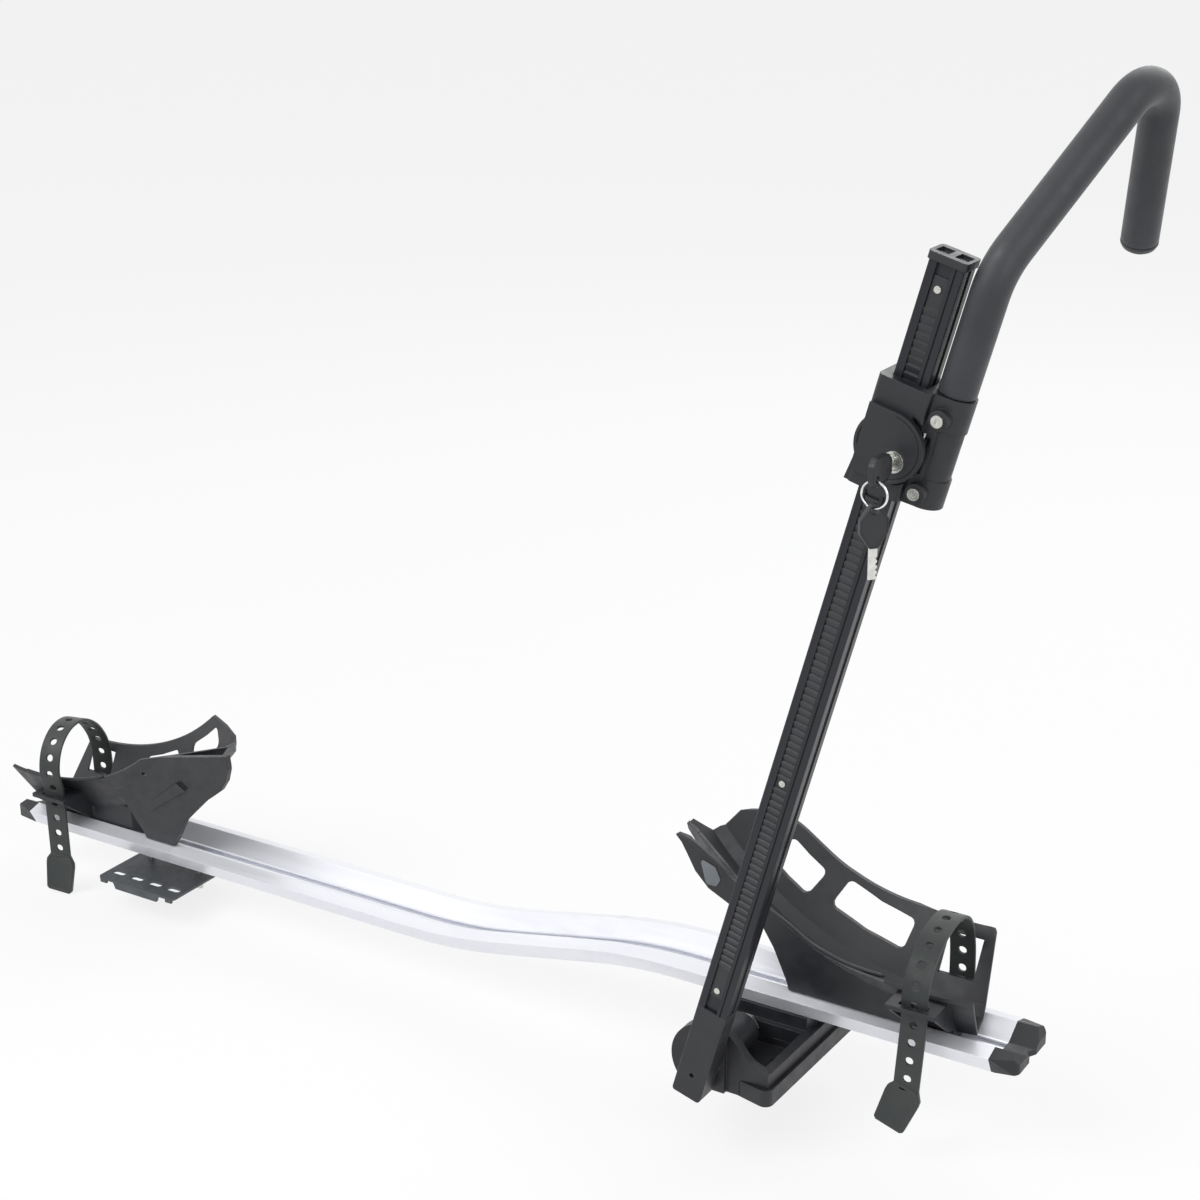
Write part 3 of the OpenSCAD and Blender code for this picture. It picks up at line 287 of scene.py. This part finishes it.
def make_tab(name, node, seat, place, tab_bottom, lean):
    bm = bmesh.new()
    rings = []
    for y in (TAIL_Y - TAB_THICK / 2, TAIL_Y + TAB_THICK / 2):
        ring = []
        for px, pz in TAB_OUTLINE:
            across = px * math.cos(lean) + (pz - TAB_PIVOT) * math.sin(lean)
            z = tab_bottom + TAB_PIVOT - px * math.sin(lean) + (pz - TAB_PIVOT) * math.cos(lean)
            ring.append(bm.verts.new(in_strap(seat, place, across, y, z)))
        rings.append(ring)
    broad = [bm.faces.new(ring) for ring in rings]
    join_rings(bm, *rings)
    bmesh.ops.recalc_face_normals(bm, faces=bm.faces)
    bmesh.ops.inset_individual(bm, faces=broad, thickness=TAB_BORDER * MM, depth=0)
    bmesh.ops.inset_individual(bm, faces=broad, thickness=TAB_SLOPE * MM, depth=-TAB_DENT * MM)
    mesh = bpy.data.meshes.new(name)
    bm.to_mesh(mesh)
    bm.free()
    tab = new_piece(name, mesh, seat[0])
    soften(tab, 0.8, 25)
    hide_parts(node)
    print(name, "faces", len(mesh.polygons))
    return tab


front_tab = make_tab("front_strap_tab", "front_strap", FRONT, FRONT_PLACE, FRONT_TAB, FRONT_TAB_LEAN)
rear_tab = make_tab("rear_strap_tab", "rear_strap", REAR, REAR_PLACE, REAR_TAB, REAR_TAB_LEAN)

# %% [markdown]
# ## The hook's rubber sleeve
# The bent steel hook is covered by a black rubber sleeve, so that it doesn't scratch a bicycle frame. A bent
# tube can be a curve with a bevel depth. A mesh that is swept ring by ring is used instead, because its two
# ends can then be rounded over, which is where the sleeve meets the head and the end plug.

# %% The hook's centre line
LEAN = math.radians(15.9)
PIVOT_Z = 31.9
HOOK_X, HOOK_Y = 37.8, -155.4
HOOK_TURN = math.radians(10)
HEAD_TOP = 772
BEND_START = 862.2
BEND_1, BEND_2 = math.radians(42.3), math.radians(116.4)
RADIUS_1, RADIUS_2 = 60, 38
MIDDLE_RUN, DOWN_RUN = 159.5, 131
STEPS_1, STEPS_2 = 12, 24
# Gap above the head, and a ring near each end that keeps the rounding short
HEAD_GAP, END_RING = 0.5, 6
SLEEVE_RADIUS = 17
TUBE_RADIUS = 12.55


def hook_points():
    """Points of the hook in its own plane: aside and up the mast."""
    points = [Vector((0, s)) for s in (HEAD_TOP + HEAD_GAP, HEAD_TOP + END_RING, BEND_START - 20)]
    for k in range(STEPS_1 + 1):
        a = BEND_1 * k / STEPS_1
        points.append(Vector((RADIUS_1 * (1 - math.cos(a)), BEND_START + RADIUS_1 * math.sin(a))))
    out = Vector((math.sin(BEND_1), math.cos(BEND_1)))
    points.append(points[-1] + out * (MIDDLE_RUN / 2))
    start = points[-2] + out * MIDDLE_RUN
    middle = start + Vector((math.cos(BEND_1), -math.sin(BEND_1))) * RADIUS_2
    for k in range(STEPS_2 + 1):
        a = BEND_1 + BEND_2 * k / STEPS_2
        points.append(middle + RADIUS_2 * Vector((-math.cos(a), math.sin(a))))
    down = Vector((math.sin(BEND_1 + BEND_2), math.cos(BEND_1 + BEND_2)))
    end = points[-1]
    return points + [end + down * (DOWN_RUN - END_RING), end + down * DOWN_RUN]


mast_turn = Matrix.Rotation(LEAN, 4, "Y")
mast_place = Matrix.Translation((0, 0, PIVOT_Z)) @ mast_turn
hook_place = (mast_place @ Matrix.Translation((HOOK_X, HOOK_Y, 0))
              @ Matrix.Rotation(math.pi / 2 - HOOK_TURN, 4, "Z"))
print("hook line:", len(hook_points()), "points")

# %% Sweep the sleeve
SLEEVE_SIDES = 40
# Rounding of each end: how far in from the radius, and how far from the end
SLEEVE_ROUND = [(1.4, 0), (0.4, 0.5), (0, 1.6)]


def make_sleeve():
    points = hook_points()
    bm = bmesh.new()
    rings = []

    def ring(i, radius, shift=0.0):
        before, after = points[max(i - 1, 0)], points[min(i + 1, len(points) - 1)]
        along = (after - before).normalized()
        aside = Vector((along.y, -along.x))
        centre = points[i] + along * shift
        verts = []
        for k in range(SLEEVE_SIDES):
            a = 2 * math.pi * k / SLEEVE_SIDES
            flat = centre + aside * (radius * math.cos(a))
            spot = hook_place @ Vector((flat.x, radius * math.sin(a), flat.y))
            verts.append(bm.verts.new(spot * MM))
        rings.append(verts)

    last = len(points) - 1
    ring(0, TUBE_RADIUS)
    for inward, shift in SLEEVE_ROUND:
        ring(0, SLEEVE_RADIUS - inward, shift)
    for i in range(1, last):
        ring(i, SLEEVE_RADIUS)
    for inward, shift in reversed(SLEEVE_ROUND):
        ring(last, SLEEVE_RADIUS - inward, -shift)
    ring(last, TUBE_RADIUS)
    for a, b in zip(rings, rings[1:]):
        for k in range(SLEEVE_SIDES):
            j = (k + 1) % SLEEVE_SIDES
            bm.faces.new((a[k], a[j], b[j], b[k])).smooth = True
    bmesh.ops.recalc_face_normals(bm, faces=bm.faces)
    mesh = bpy.data.meshes.new("hook_sleeve_rubber")
    bm.to_mesh(mesh)
    bm.free()
    sleeve = new_piece("hook_sleeve_rubber", mesh, "head")
    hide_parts("hook_sleeve")
    print("sleeve faces:", len(mesh.polygons))
    return sleeve


sleeve = make_sleeve()

# %% [markdown]
# ## Keys
# The keys hang on a split ring, which is a flat wire wound twice round, with a short step where it crosses
# over from one turn to the other. A torus would hide that step. The wire's flat section is therefore carried
# along the two turns, point by point, inside the space of the solid ring.

# %% A helper that sweeps a section along a line
# The lock's axis in the mast's own frame: aside and up the mast
LOCK_X, LOCK_S = 14.2, 706.6
LOCK = mast_place @ Vector((LOCK_X, 0, LOCK_S))


def sweep(name, stations, closed):
    """Join equal rings of points into a tube. An open tube gets a face on each end."""
    bm = bmesh.new()
    rings = [[bm.verts.new(p * MM) for p in station] for station in stations]
    n = len(rings[0])
    pairs = list(zip(rings, rings[1:])) + ([(rings[-1], rings[0])] if closed else [])
    for a, b in pairs:
        for k in range(n):
            bm.faces.new((a[k], a[(k + 1) % n], b[(k + 1) % n], b[k])).smooth = True
    if not closed:
        bm.faces.new(rings[0])
        bm.faces.new(rings[-1])
    bmesh.ops.recalc_face_normals(bm, faces=bm.faces)
    mesh = bpy.data.meshes.new(name)
    bm.to_mesh(mesh)
    bm.free()
    return mesh


print("lock at", tuple(round(v, 1) for v in LOCK))

# %% Wind the split ring
RING_RADIUS = 12
WIRE_HIGH, WIRE_WIDE = 1.5, 0.92
WIRE_CORNER = 0.3
WIRE_GAP = 0.08
# Half of the step between the two turns, and the turn of the whole ring, in degrees
STEP_HALF = 26
RING_TURN = 120
TURN_STEPS = 60


def wire_section():
    """Corners of the flat wire, cut off a little: outwards and along the ring's axis."""
    a, b, c = WIRE_HIGH / 2, WIRE_WIDE / 2, WIRE_CORNER
    return [(a, -b + c), (a, b - c), (a - c, b), (-a + c, b),
            (-a, b - c), (-a, -b + c), (-a + c, -b), (a - c, -b)]


def make_ring():
    low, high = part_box("key_ring")
    centre = (Vector(low) + Vector(high)) / (2 * MM)
    start, end = 90 + STEP_HALF, 90 + 720 - STEP_HALF
    stations = []
    for i in range(2 * TURN_STEPS + 1):
        degrees = start + (end - start) * i / (2 * TURN_STEPS)
        t = min(1, max(0, (degrees - 450 + STEP_HALF) / (2 * STEP_HALF)))
        aside = (t * t * (3 - 2 * t) - 0.5) * (WIRE_WIDE + WIRE_GAP)
        a = math.radians(degrees + RING_TURN)
        out = Vector((math.cos(a), 0, math.sin(a)))
        stations.append([centre + out * (RING_RADIUS + r) + Vector((0, aside + y, 0))
                         for r, y in wire_section()])
    ring = new_piece("key_split_ring", sweep("key_split_ring", stations, False), "key_bunch")
    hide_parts("key_ring")
    print("ring faces:", len(ring.data.polygons))
    return ring


split_ring = make_ring()

# %% [markdown]
# The plastic heads of both keys have a raised border. It is a half-sunk bead, which follows the outline of the
# head on both sides. The outline is written as in a drawing: corners, each with its radius.

# %% Beads round the key heads
BEAD_RADIUS = 0.8
BEAD_INSET = 0.9
BEAD_SIDES = 8


def fillet(corners, steps=6):
    """A closed outline from corners with radii."""
    outline = []
    for i, (x, y, radius) in enumerate(corners):
        p = Vector((x, y))
        before = (Vector(corners[i - 1][:2]) - p).normalized()
        after = (Vector(corners[(i + 1) % len(corners)][:2]) - p).normalized()
        half = before.angle(after) / 2
        middle = p + (before + after).normalized() * (radius / math.sin(half))
        first = p + before * (radius / math.tan(half)) - middle
        turn = first.angle_signed(p + after * (radius / math.tan(half)) - middle)
        outline += [middle + Matrix.Rotation(-turn * k / steps, 2) @ first for k in range(steps + 1)]
    return outline


def shrink(outline, amount):
    """Move a convex outline inwards."""
    inner = []
    for i, p in enumerate(outline):
        along = (outline[(i + 1) % len(outline)] - outline[i - 1]).normalized()
        inner.append(p + Vector((-along.y, along.x)) * amount)
    return inner


def bead(outline, place):
    """Rings of points round a closed outline that lies across X in a place's own frame."""
    stations = []
    for i, p in enumerate(outline):
        along = (outline[(i + 1) % len(outline)] - outline[i - 1]).normalized()
        aside = Vector((-along.y, along.x))
        ring = []
        for k in range(BEAD_SIDES):
            a = 2 * math.pi * k / BEAD_SIDES
            q = p + aside * (BEAD_RADIUS * math.cos(a))
            ring.append(place @ Vector((BEAD_RADIUS * math.sin(a), q.x, q.y)))
        stations.append(ring)
    return stations


FOB = [(0, 10, 6), (13, -8, 4), (13, -20, 4), (4, -34, 2), (-4, -34, 2), (-13, -20, 4), (-13, -8, 4)]
BOW = [(-44, -7, 5), (-38, -13, 6), (-16, -12, 5), (-9, -6, 3), (-9, 6, 3), (-16, 12, 5), (-38, 13, 6),
       (-44, 7, 5)]
# Places of both heads from the lock, half of each head's thickness and the spare key's turn
FOB_FROM_LOCK, BOW_FROM_LOCK = Vector((0, -226, -32.7)), Vector((0, -190, 0))
FOB_HALF, BOW_HALF = 2.4, 2.6
FOB_TURN = math.radians(-42)
fob_place = Matrix.Translation(LOCK + FOB_FROM_LOCK) @ Matrix.Rotation(FOB_TURN, 4, "Z")
bow_place = Matrix.Translation(LOCK + BOW_FROM_LOCK)
key_beads = []
for name, corners, place, half, body in (("spare_key_border", FOB, fob_place, FOB_HALF, "key_bunch"),
                                         ("key_border", BOW, bow_place, BOW_HALF, "lock")):
    outline = fillet(corners)
    if sum(a.cross(b) for a, b in zip(outline, outline[1:] + outline[:1])) < 0:
        outline.reverse()
    outline = shrink(outline, BEAD_INSET)
    for side, sign in (("left", -1), ("right", 1)):
        rings = bead(outline, place @ Matrix.Translation((sign * half, 0, 0)))
        piece = new_piece(name + "_" + side, sweep(name + "_" + side, rings, True), body)
        key_beads.append(piece)
print("beads:", len(key_beads))

# %% [markdown]
# ## Cradle details
# The moulded cradles have a rolled edge along the near lip, and the front one has a light grey pad near its
# inner end. An edge that is only as thick as the wall looks like sheet metal. A bead is therefore swept along
# the lip, half sunk in the wall. The pad is one rounded outline, which lies on the leaning shield.

# %% Roll the near lips
LIP_RADIUS = 2.3
LIP_SIDES = 12
# Share of the radius that is left at the two ends of a bead
LIP_END = 0.45
# Outer face of the front shield at the rail's ridges, how far it leans out per millimetre of height, and how
# far the bead lies inside it
SHIELD_Y, SHIELD_SLOPE = -34.8, 0.0875
LIP_INSET = 2
WHEEL_RADIUS = 352
# The rear lip: its Y and its radius about the axle
REAR_LIP = (-54.2, 294)
FRONT_LIP = [(-40, 48), (-50, 48.5), (-92, 51), (-129, 62), (-154, 77), (-178, 90), (-219, 111), (-234, 125),
             (-253, 138), (-269, 148), (-286, 153)]
FRONT_LIP_STEPS = 5


def roll(name, seat, points):
    """A round bead along a line of cradle points."""
    line = [in_cradle(seat, *p) / MM for p in points]
    stations = []
    for i, p in enumerate(line):
        along = (line[min(i + 1, len(line) - 1)] - line[max(i - 1, 0)]).normalized()
        aside = along.cross(Vector((0, 1, 0))).normalized()
        other = along.cross(aside)
        radius = LIP_RADIUS * (LIP_END if i in (0, len(line) - 1) else 1)
        angles = [2 * math.pi * k / LIP_SIDES for k in range(LIP_SIDES)]
        stations.append([p + radius * (aside * math.cos(a) + other * math.sin(a)) for a in angles])
    piece = new_piece(name, sweep(name, stations, False), seat[0])
    return piece


front_lip = smooth_line([Vector(p) for p in FRONT_LIP], FRONT_LIP_STEPS)
rear_lip = [(x, WHEEL_RADIUS - math.sqrt(REAR_LIP[1] ** 2 - x * x)) for x in range(24, -118, -6)]
lips = [roll("front_cradle_lip", FRONT,
             [(p.x, SHIELD_Y + LIP_INSET - SHIELD_SLOPE * p.y, p.y) for p in front_lip]),
        roll("rear_cradle_lip", REAR, [(x, REAR_LIP[0], z) for x, z in rear_lip])]
print("lip points:", len(front_lip), len(rear_lip))

# %% Lay the grey pad
PAD = [(-258, 132, 3), (-240, 125.5, 3), (-234.5, 112, 6), (-240, 102.5, 4), (-252, 103, 4)]
PAD_THICK = 1.2
PAD_SUNK = 0.3


def make_pad():
    bm = bmesh.new()
    outline = fillet(PAD)
    rings = [[bm.verts.new(in_cradle(FRONT, p.x, SHIELD_Y - SHIELD_SLOPE * p.y + out, p.y))
              for p in outline] for out in (PAD_SUNK, -PAD_THICK)]
    join_rings(bm, *rings)
    for ring in rings:
        bm.faces.new(ring)
    bmesh.ops.recalc_face_normals(bm, faces=bm.faces)
    mesh = bpy.data.meshes.new("front_cradle_pad")
    bm.to_mesh(mesh)
    bm.free()
    pad = new_piece("front_cradle_pad", mesh, FRONT[0])
    soften(pad, 0.4)
    print("pad faces:", len(mesh.polygons))
    return pad


pad = make_pad()

# %% [markdown]
# ## Finishes
# Every finish is a small node tree. A noise that is stretched, fine or coarse breaks up the colour, another
# one the roughness, and a bump gives the grain. The solid pieces keep their place in their points, so object
# coordinates are real metres: a noise scale of 600 gives grains of about 1.5 mm. The Bevel node rounds the
# sharp edges of the solid pieces in the light, as a mould or a deburring brush would.

# %% A helper for noise that follows the piece
# Most values of a noise lie between these two
NOISE_LOW, NOISE_HIGH = 0.3, 0.7


def noise(tree, scale, stretch=(1, 1, 1), turn=0.0, detail=3.0):
    """A noise texture in metres, stretched along an axis and turned about Y to follow the mast."""
    coords = tree.nodes.new("ShaderNodeTexCoord")
    place = tree.nodes.new("ShaderNodeMapping")
    place.vector_type = "TEXTURE"
    place.inputs["Rotation"].default_value = (0, turn, 0)
    place.inputs["Scale"].default_value = stretch
    texture = tree.nodes.new("ShaderNodeTexNoise")
    texture.inputs["Scale"].default_value = scale
    texture.inputs["Detail"].default_value = detail
    tree.links.new(coords.outputs["Object"], place.inputs["Vector"])
    tree.links.new(place.outputs["Vector"], texture.inputs["Vector"])
    return texture.outputs["Fac"]


def spread(tree, value, low, high):
    """Carry a noise value onto a range."""
    node = tree.nodes.new("ShaderNodeMapRange")
    node.inputs["From Min"].default_value = NOISE_LOW
    node.inputs["From Max"].default_value = NOISE_HIGH
    node.inputs["To Min"].default_value = low
    node.inputs["To Max"].default_value = high
    tree.links.new(value, node.inputs["Value"])
    return node.outputs["Result"]


def tint(tree, value, dark, light):
    """Carry a noise value onto two colours."""
    ramp = tree.nodes.new("ShaderNodeValToRGB")
    ramp.color_ramp.elements[0].position = NOISE_LOW
    ramp.color_ramp.elements[1].position = NOISE_HIGH
    ramp.color_ramp.elements[0].color = (*dark, 1)
    ramp.color_ramp.elements[1].color = (*light, 1)
    tree.links.new(value, ramp.inputs["Fac"])
    return ramp.outputs["Color"]


print("noise helpers ready")

# %% A helper that builds one finish
BUMP_DEPTH = 0.4
EDGE_SAMPLES = 4
# Patches of roughness are this many times finer than patches of colour
ROUGH_FINER = 5


def make_finish(name, dark, light, rough, metal=0.0, grain=(600, 0.15), patches=14, stretch=(1, 1, 1),
                turn=0.0, edge=0.8, sheen=0.0):
    """One finish: two close colours, a range of roughness, a grain of a given scale and strength."""
    material = bpy.data.materials.new(name)
    material.use_nodes = True
    tree = material.node_tree
    shader = tree.nodes["Principled BSDF"]
    shader.inputs["Metallic"].default_value = metal
    shader.inputs["Sheen Weight"].default_value = sheen
    broad = noise(tree, patches, stretch, turn)
    fine = noise(tree, grain[0], stretch, turn, 2.0)
    tree.links.new(tint(tree, broad, dark, light), shader.inputs["Base Color"])
    dull = noise(tree, patches * ROUGH_FINER, stretch, turn)
    tree.links.new(spread(tree, dull, *rough), shader.inputs["Roughness"])
    rounded = tree.nodes.new("ShaderNodeBevel")
    rounded.samples = EDGE_SAMPLES
    rounded.inputs["Radius"].default_value = edge * MM
    bump = tree.nodes.new("ShaderNodeBump")
    bump.inputs["Strength"].default_value = grain[1]
    bump.inputs["Distance"].default_value = BUMP_DEPTH * MM
    tree.links.new(fine, bump.inputs["Height"])
    tree.links.new(rounded.outputs["Normal"], bump.inputs["Normal"])
    tree.links.new(bump.outputs["Normal"], shader.inputs["Normal"])
    return material


print("finish helper ready")

# %% [markdown]
# The carrier has few finishes, and each is used on many pieces. The moulded plastics are matte with a fine
# spark grain. The mast is a black anodised extrusion, so its lines run along it. The rail is clear anodised,
# with faint die lines. Rubber is duller and a little greener. The fasteners are zinc plated.

# %% Mix the finishes
moulded = make_finish("moulded_black", (0.010, 0.011, 0.014), (0.017, 0.018, 0.022), (0.36, 0.52),
                      grain=(900, 0.22), edge=1.2)
ribbed = make_finish("rack_black", (0.014, 0.015, 0.018), (0.023, 0.024, 0.028), (0.32, 0.46),
                     grain=(1100, 0.15), edge=0.5)
mast_black = make_finish("mast_anodised_black", (0.010, 0.011, 0.015), (0.017, 0.018, 0.023), (0.28, 0.4),
                         metal=0.25, grain=(500, 0.12), patches=60, stretch=(1, 1, 60), turn=LEAN)
rubber = make_finish("strap_rubber", (0.014, 0.018, 0.018), (0.023, 0.027, 0.027), (0.44, 0.6),
                     grain=(700, 0.2), edge=0.5, sheen=0.15)
sleeve_rubber = make_finish("sleeve_rubber", (0.012, 0.014, 0.018), (0.020, 0.023, 0.028), (0.48, 0.62),
                            grain=(1000, 0.22), edge=0.5, sheen=0.2)
anodised = make_finish("rail_clear_anodised", (0.80, 0.81, 0.86), (0.87, 0.88, 0.92), (0.3, 0.42),
                       metal=0.45, grain=(420, 0.08), patches=40, stretch=(60, 1, 1), edge=0.7)
plate_grey = make_finish("clamp_plate_grey", (0.075, 0.083, 0.09), (0.11, 0.118, 0.125), (0.34, 0.5),
                         metal=0.6, grain=(500, 0.15), patches=30)
zinc = make_finish("zinc_plated", (0.52, 0.52, 0.48), (0.66, 0.66, 0.62), (0.24, 0.38), metal=1.0,
                   grain=(1500, 0.12), patches=120, edge=0.4)
bright = make_finish("bright_steel", (0.5, 0.51, 0.53), (0.62, 0.63, 0.65), (0.2, 0.34), metal=1.0,
                     grain=(1200, 0.1), patches=80, edge=0.4)
chrome = make_finish("key_ring_chrome", (0.72, 0.73, 0.74), (0.82, 0.83, 0.84), (0.08, 0.16), metal=1.0,
                     grain=(1600, 0.04), patches=200, edge=0.2)
nickel = make_finish("key_nickel", (0.62, 0.62, 0.6), (0.76, 0.76, 0.73), (0.16, 0.3), metal=1.0,
                     grain=(2000, 0.1), patches=200, edge=0.2)
pad_grey = make_finish("pad_grey", (0.13, 0.145, 0.16), (0.18, 0.195, 0.21), (0.5, 0.66),
                       grain=(700, 0.15), edge=0.4)
print("finishes:", len(bpy.data.materials))

# %% [markdown]
# The finishes now go onto the pieces. A solid piece keeps its mesh, and only its material slots are filled
# again.

# %% Dress the pieces
DRESS = {
    moulded: ["rail_cap_front", "rail_cap_rear", "foot_base", "foot_housing", "hinge_barrel", "mast_cap",
              "hinge_shoe", "head_body", "lever", "key_bow", "spare_key_fob", "front_cradle", "rear_cradle"],
    ribbed: ["rack_strip"],
    mast_black: ["mast_tube"],
    sleeve_rubber: ["hook_plug"],
    anodised: ["rail"],
    plate_grey: ["clamp_plate"],
    zinc: ["foot_screws", "foot_t_bolts", "foot_nuts", "rack_rivets", "pivot_nut", "clamp_screws",
           "lock_bezel", "lock_core", "front_cradle_bolts", "front_t_nuts", "rear_cradle_bolts",
           "rear_t_nuts", "clamp_t_bolts", "clamp_nuts"],
    bright: ["pivot_shaft", "hinge_washer", "hook_tube", "lever_pin", "lever_spring", "pawl"],
    chrome: ["key_ring"],
    nickel: ["key_blade", "spare_key_blade"],
}


def dress(piece, material):
    piece.data.materials.clear()
    piece.data.materials.append(material)


for material, names in DRESS.items():
    for name in names:
        dress(nodes[name], material)
for piece in (front_strap, rear_strap, front_tab, rear_tab):
    dress(piece, rubber)
dress(sleeve, sleeve_rubber)
dress(split_ring, chrome)
for piece in key_beads + lips:
    dress(piece, moulded)
dress(pad, pad_grey)
print("dressed:", sum(len(n) for n in DRESS.values()), "solid pieces")

# %% [markdown]
# ## Floor and light
# The floor is a plain pale sheet. What the camera sees of it is partly its own glow, so that it looks almost
# white without more light on the carrier, and it still takes a soft shadow. Three large soft lamps and an even
# sky light the carrier as in a studio.

# %% Lay the floor
FLOOR_DROP = 0.001
FLOOR_HALF = 40
FLOOR_COLOUR = (0.86, 0.86, 0.87, 1)
GLOW_SHARE = 0.8
low = cad_box[0].z - FLOOR_DROP
bm = bmesh.new()
bmesh.ops.create_grid(bm, x_segments=1, y_segments=1, size=FLOOR_HALF)
floor_mesh = bpy.data.meshes.new("floor")
bm.to_mesh(floor_mesh)
bm.free()
floor = bpy.data.objects.new("floor", floor_mesh)
floor.location.z = low
scene.collection.objects.link(floor)

pale = bpy.data.materials.new("pale_floor")
pale.use_nodes = True
tree = pale.node_tree
tree.nodes.clear()
output = tree.nodes.new("ShaderNodeOutputMaterial")
matte = tree.nodes.new("ShaderNodeBsdfDiffuse")
matte.inputs["Color"].default_value = FLOOR_COLOUR
glow = tree.nodes.new("ShaderNodeEmission")
rays = tree.nodes.new("ShaderNodeLightPath")
seen = tree.nodes.new("ShaderNodeMath")
seen.operation = "MAXIMUM"
share = tree.nodes.new("ShaderNodeMath")
share.operation = "MULTIPLY"
share.inputs[1].default_value = GLOW_SHARE
mix = tree.nodes.new("ShaderNodeMixShader")
tree.links.new(rays.outputs["Is Camera Ray"], seen.inputs[0])
tree.links.new(rays.outputs["Is Glossy Ray"], seen.inputs[1])
tree.links.new(seen.outputs[0], share.inputs[0])
tree.links.new(share.outputs[0], mix.inputs["Fac"])
tree.links.new(matte.outputs[0], mix.inputs[1])
tree.links.new(glow.outputs[0], mix.inputs[2])
tree.links.new(mix.outputs[0], output.inputs["Surface"])
floor_mesh.materials.append(pale)
print("floor at", round(low, 4))

# %% Hang the lamps
# Strength of the sky as a light, and as it is seen by the camera, in a reflection or through glass
SKY_LIGHT, SKY_SEEN = 0.5, 1.0
sky = bpy.data.worlds.new("studio")
scene.world = sky
sky.use_nodes = True
tree = sky.node_tree
tree.nodes.clear()
output = tree.nodes.new("ShaderNodeOutputWorld")
even = tree.nodes.new("ShaderNodeBackground")
rays = tree.nodes.new("ShaderNodeLightPath")
glossy = tree.nodes.new("ShaderNodeMath")
glossy.operation = "MAXIMUM"
clear = tree.nodes.new("ShaderNodeMath")
clear.operation = "MAXIMUM"
level = tree.nodes.new("ShaderNodeMapRange")
level.inputs["To Min"].default_value = SKY_LIGHT
level.inputs["To Max"].default_value = SKY_SEEN
tree.links.new(rays.outputs["Is Camera Ray"], glossy.inputs[0])
tree.links.new(rays.outputs["Is Glossy Ray"], glossy.inputs[1])
tree.links.new(glossy.outputs[0], clear.inputs[0])
tree.links.new(rays.outputs["Is Transmission Ray"], clear.inputs[1])
tree.links.new(clear.outputs[0], level.inputs["Value"])
tree.links.new(level.outputs["Result"], even.inputs["Strength"])
even.inputs["Color"].default_value = (1, 1, 1, 1)
tree.links.new(even.outputs[0], output.inputs["Surface"])


def lamp(name, place, aim, size, watts):
    light = bpy.data.lights.new(name, "AREA")
    light.size = size
    light.energy = watts
    holder = bpy.data.objects.new(name, light)
    holder.location = place
    holder.rotation_mode = "QUATERNION"
    holder.rotation_quaternion = (Vector(aim) - Vector(place)).to_track_quat("-Z", "Y")
    scene.collection.objects.link(holder)


middle = (-0.25, -0.1, 0.3)
lamp("key_lamp", (-1.6, -2.6, 3.2), middle, 2.2, 90)
lamp("fill_lamp", (2.8, -1.6, 2.0), middle, 2.4, 40)
lamp("back_lamp", (0.2, 2.6, 2.8), middle, 2.4, 45)
scene.view_settings.view_transform = "Standard"
print("lamps:", len(bpy.data.lights))
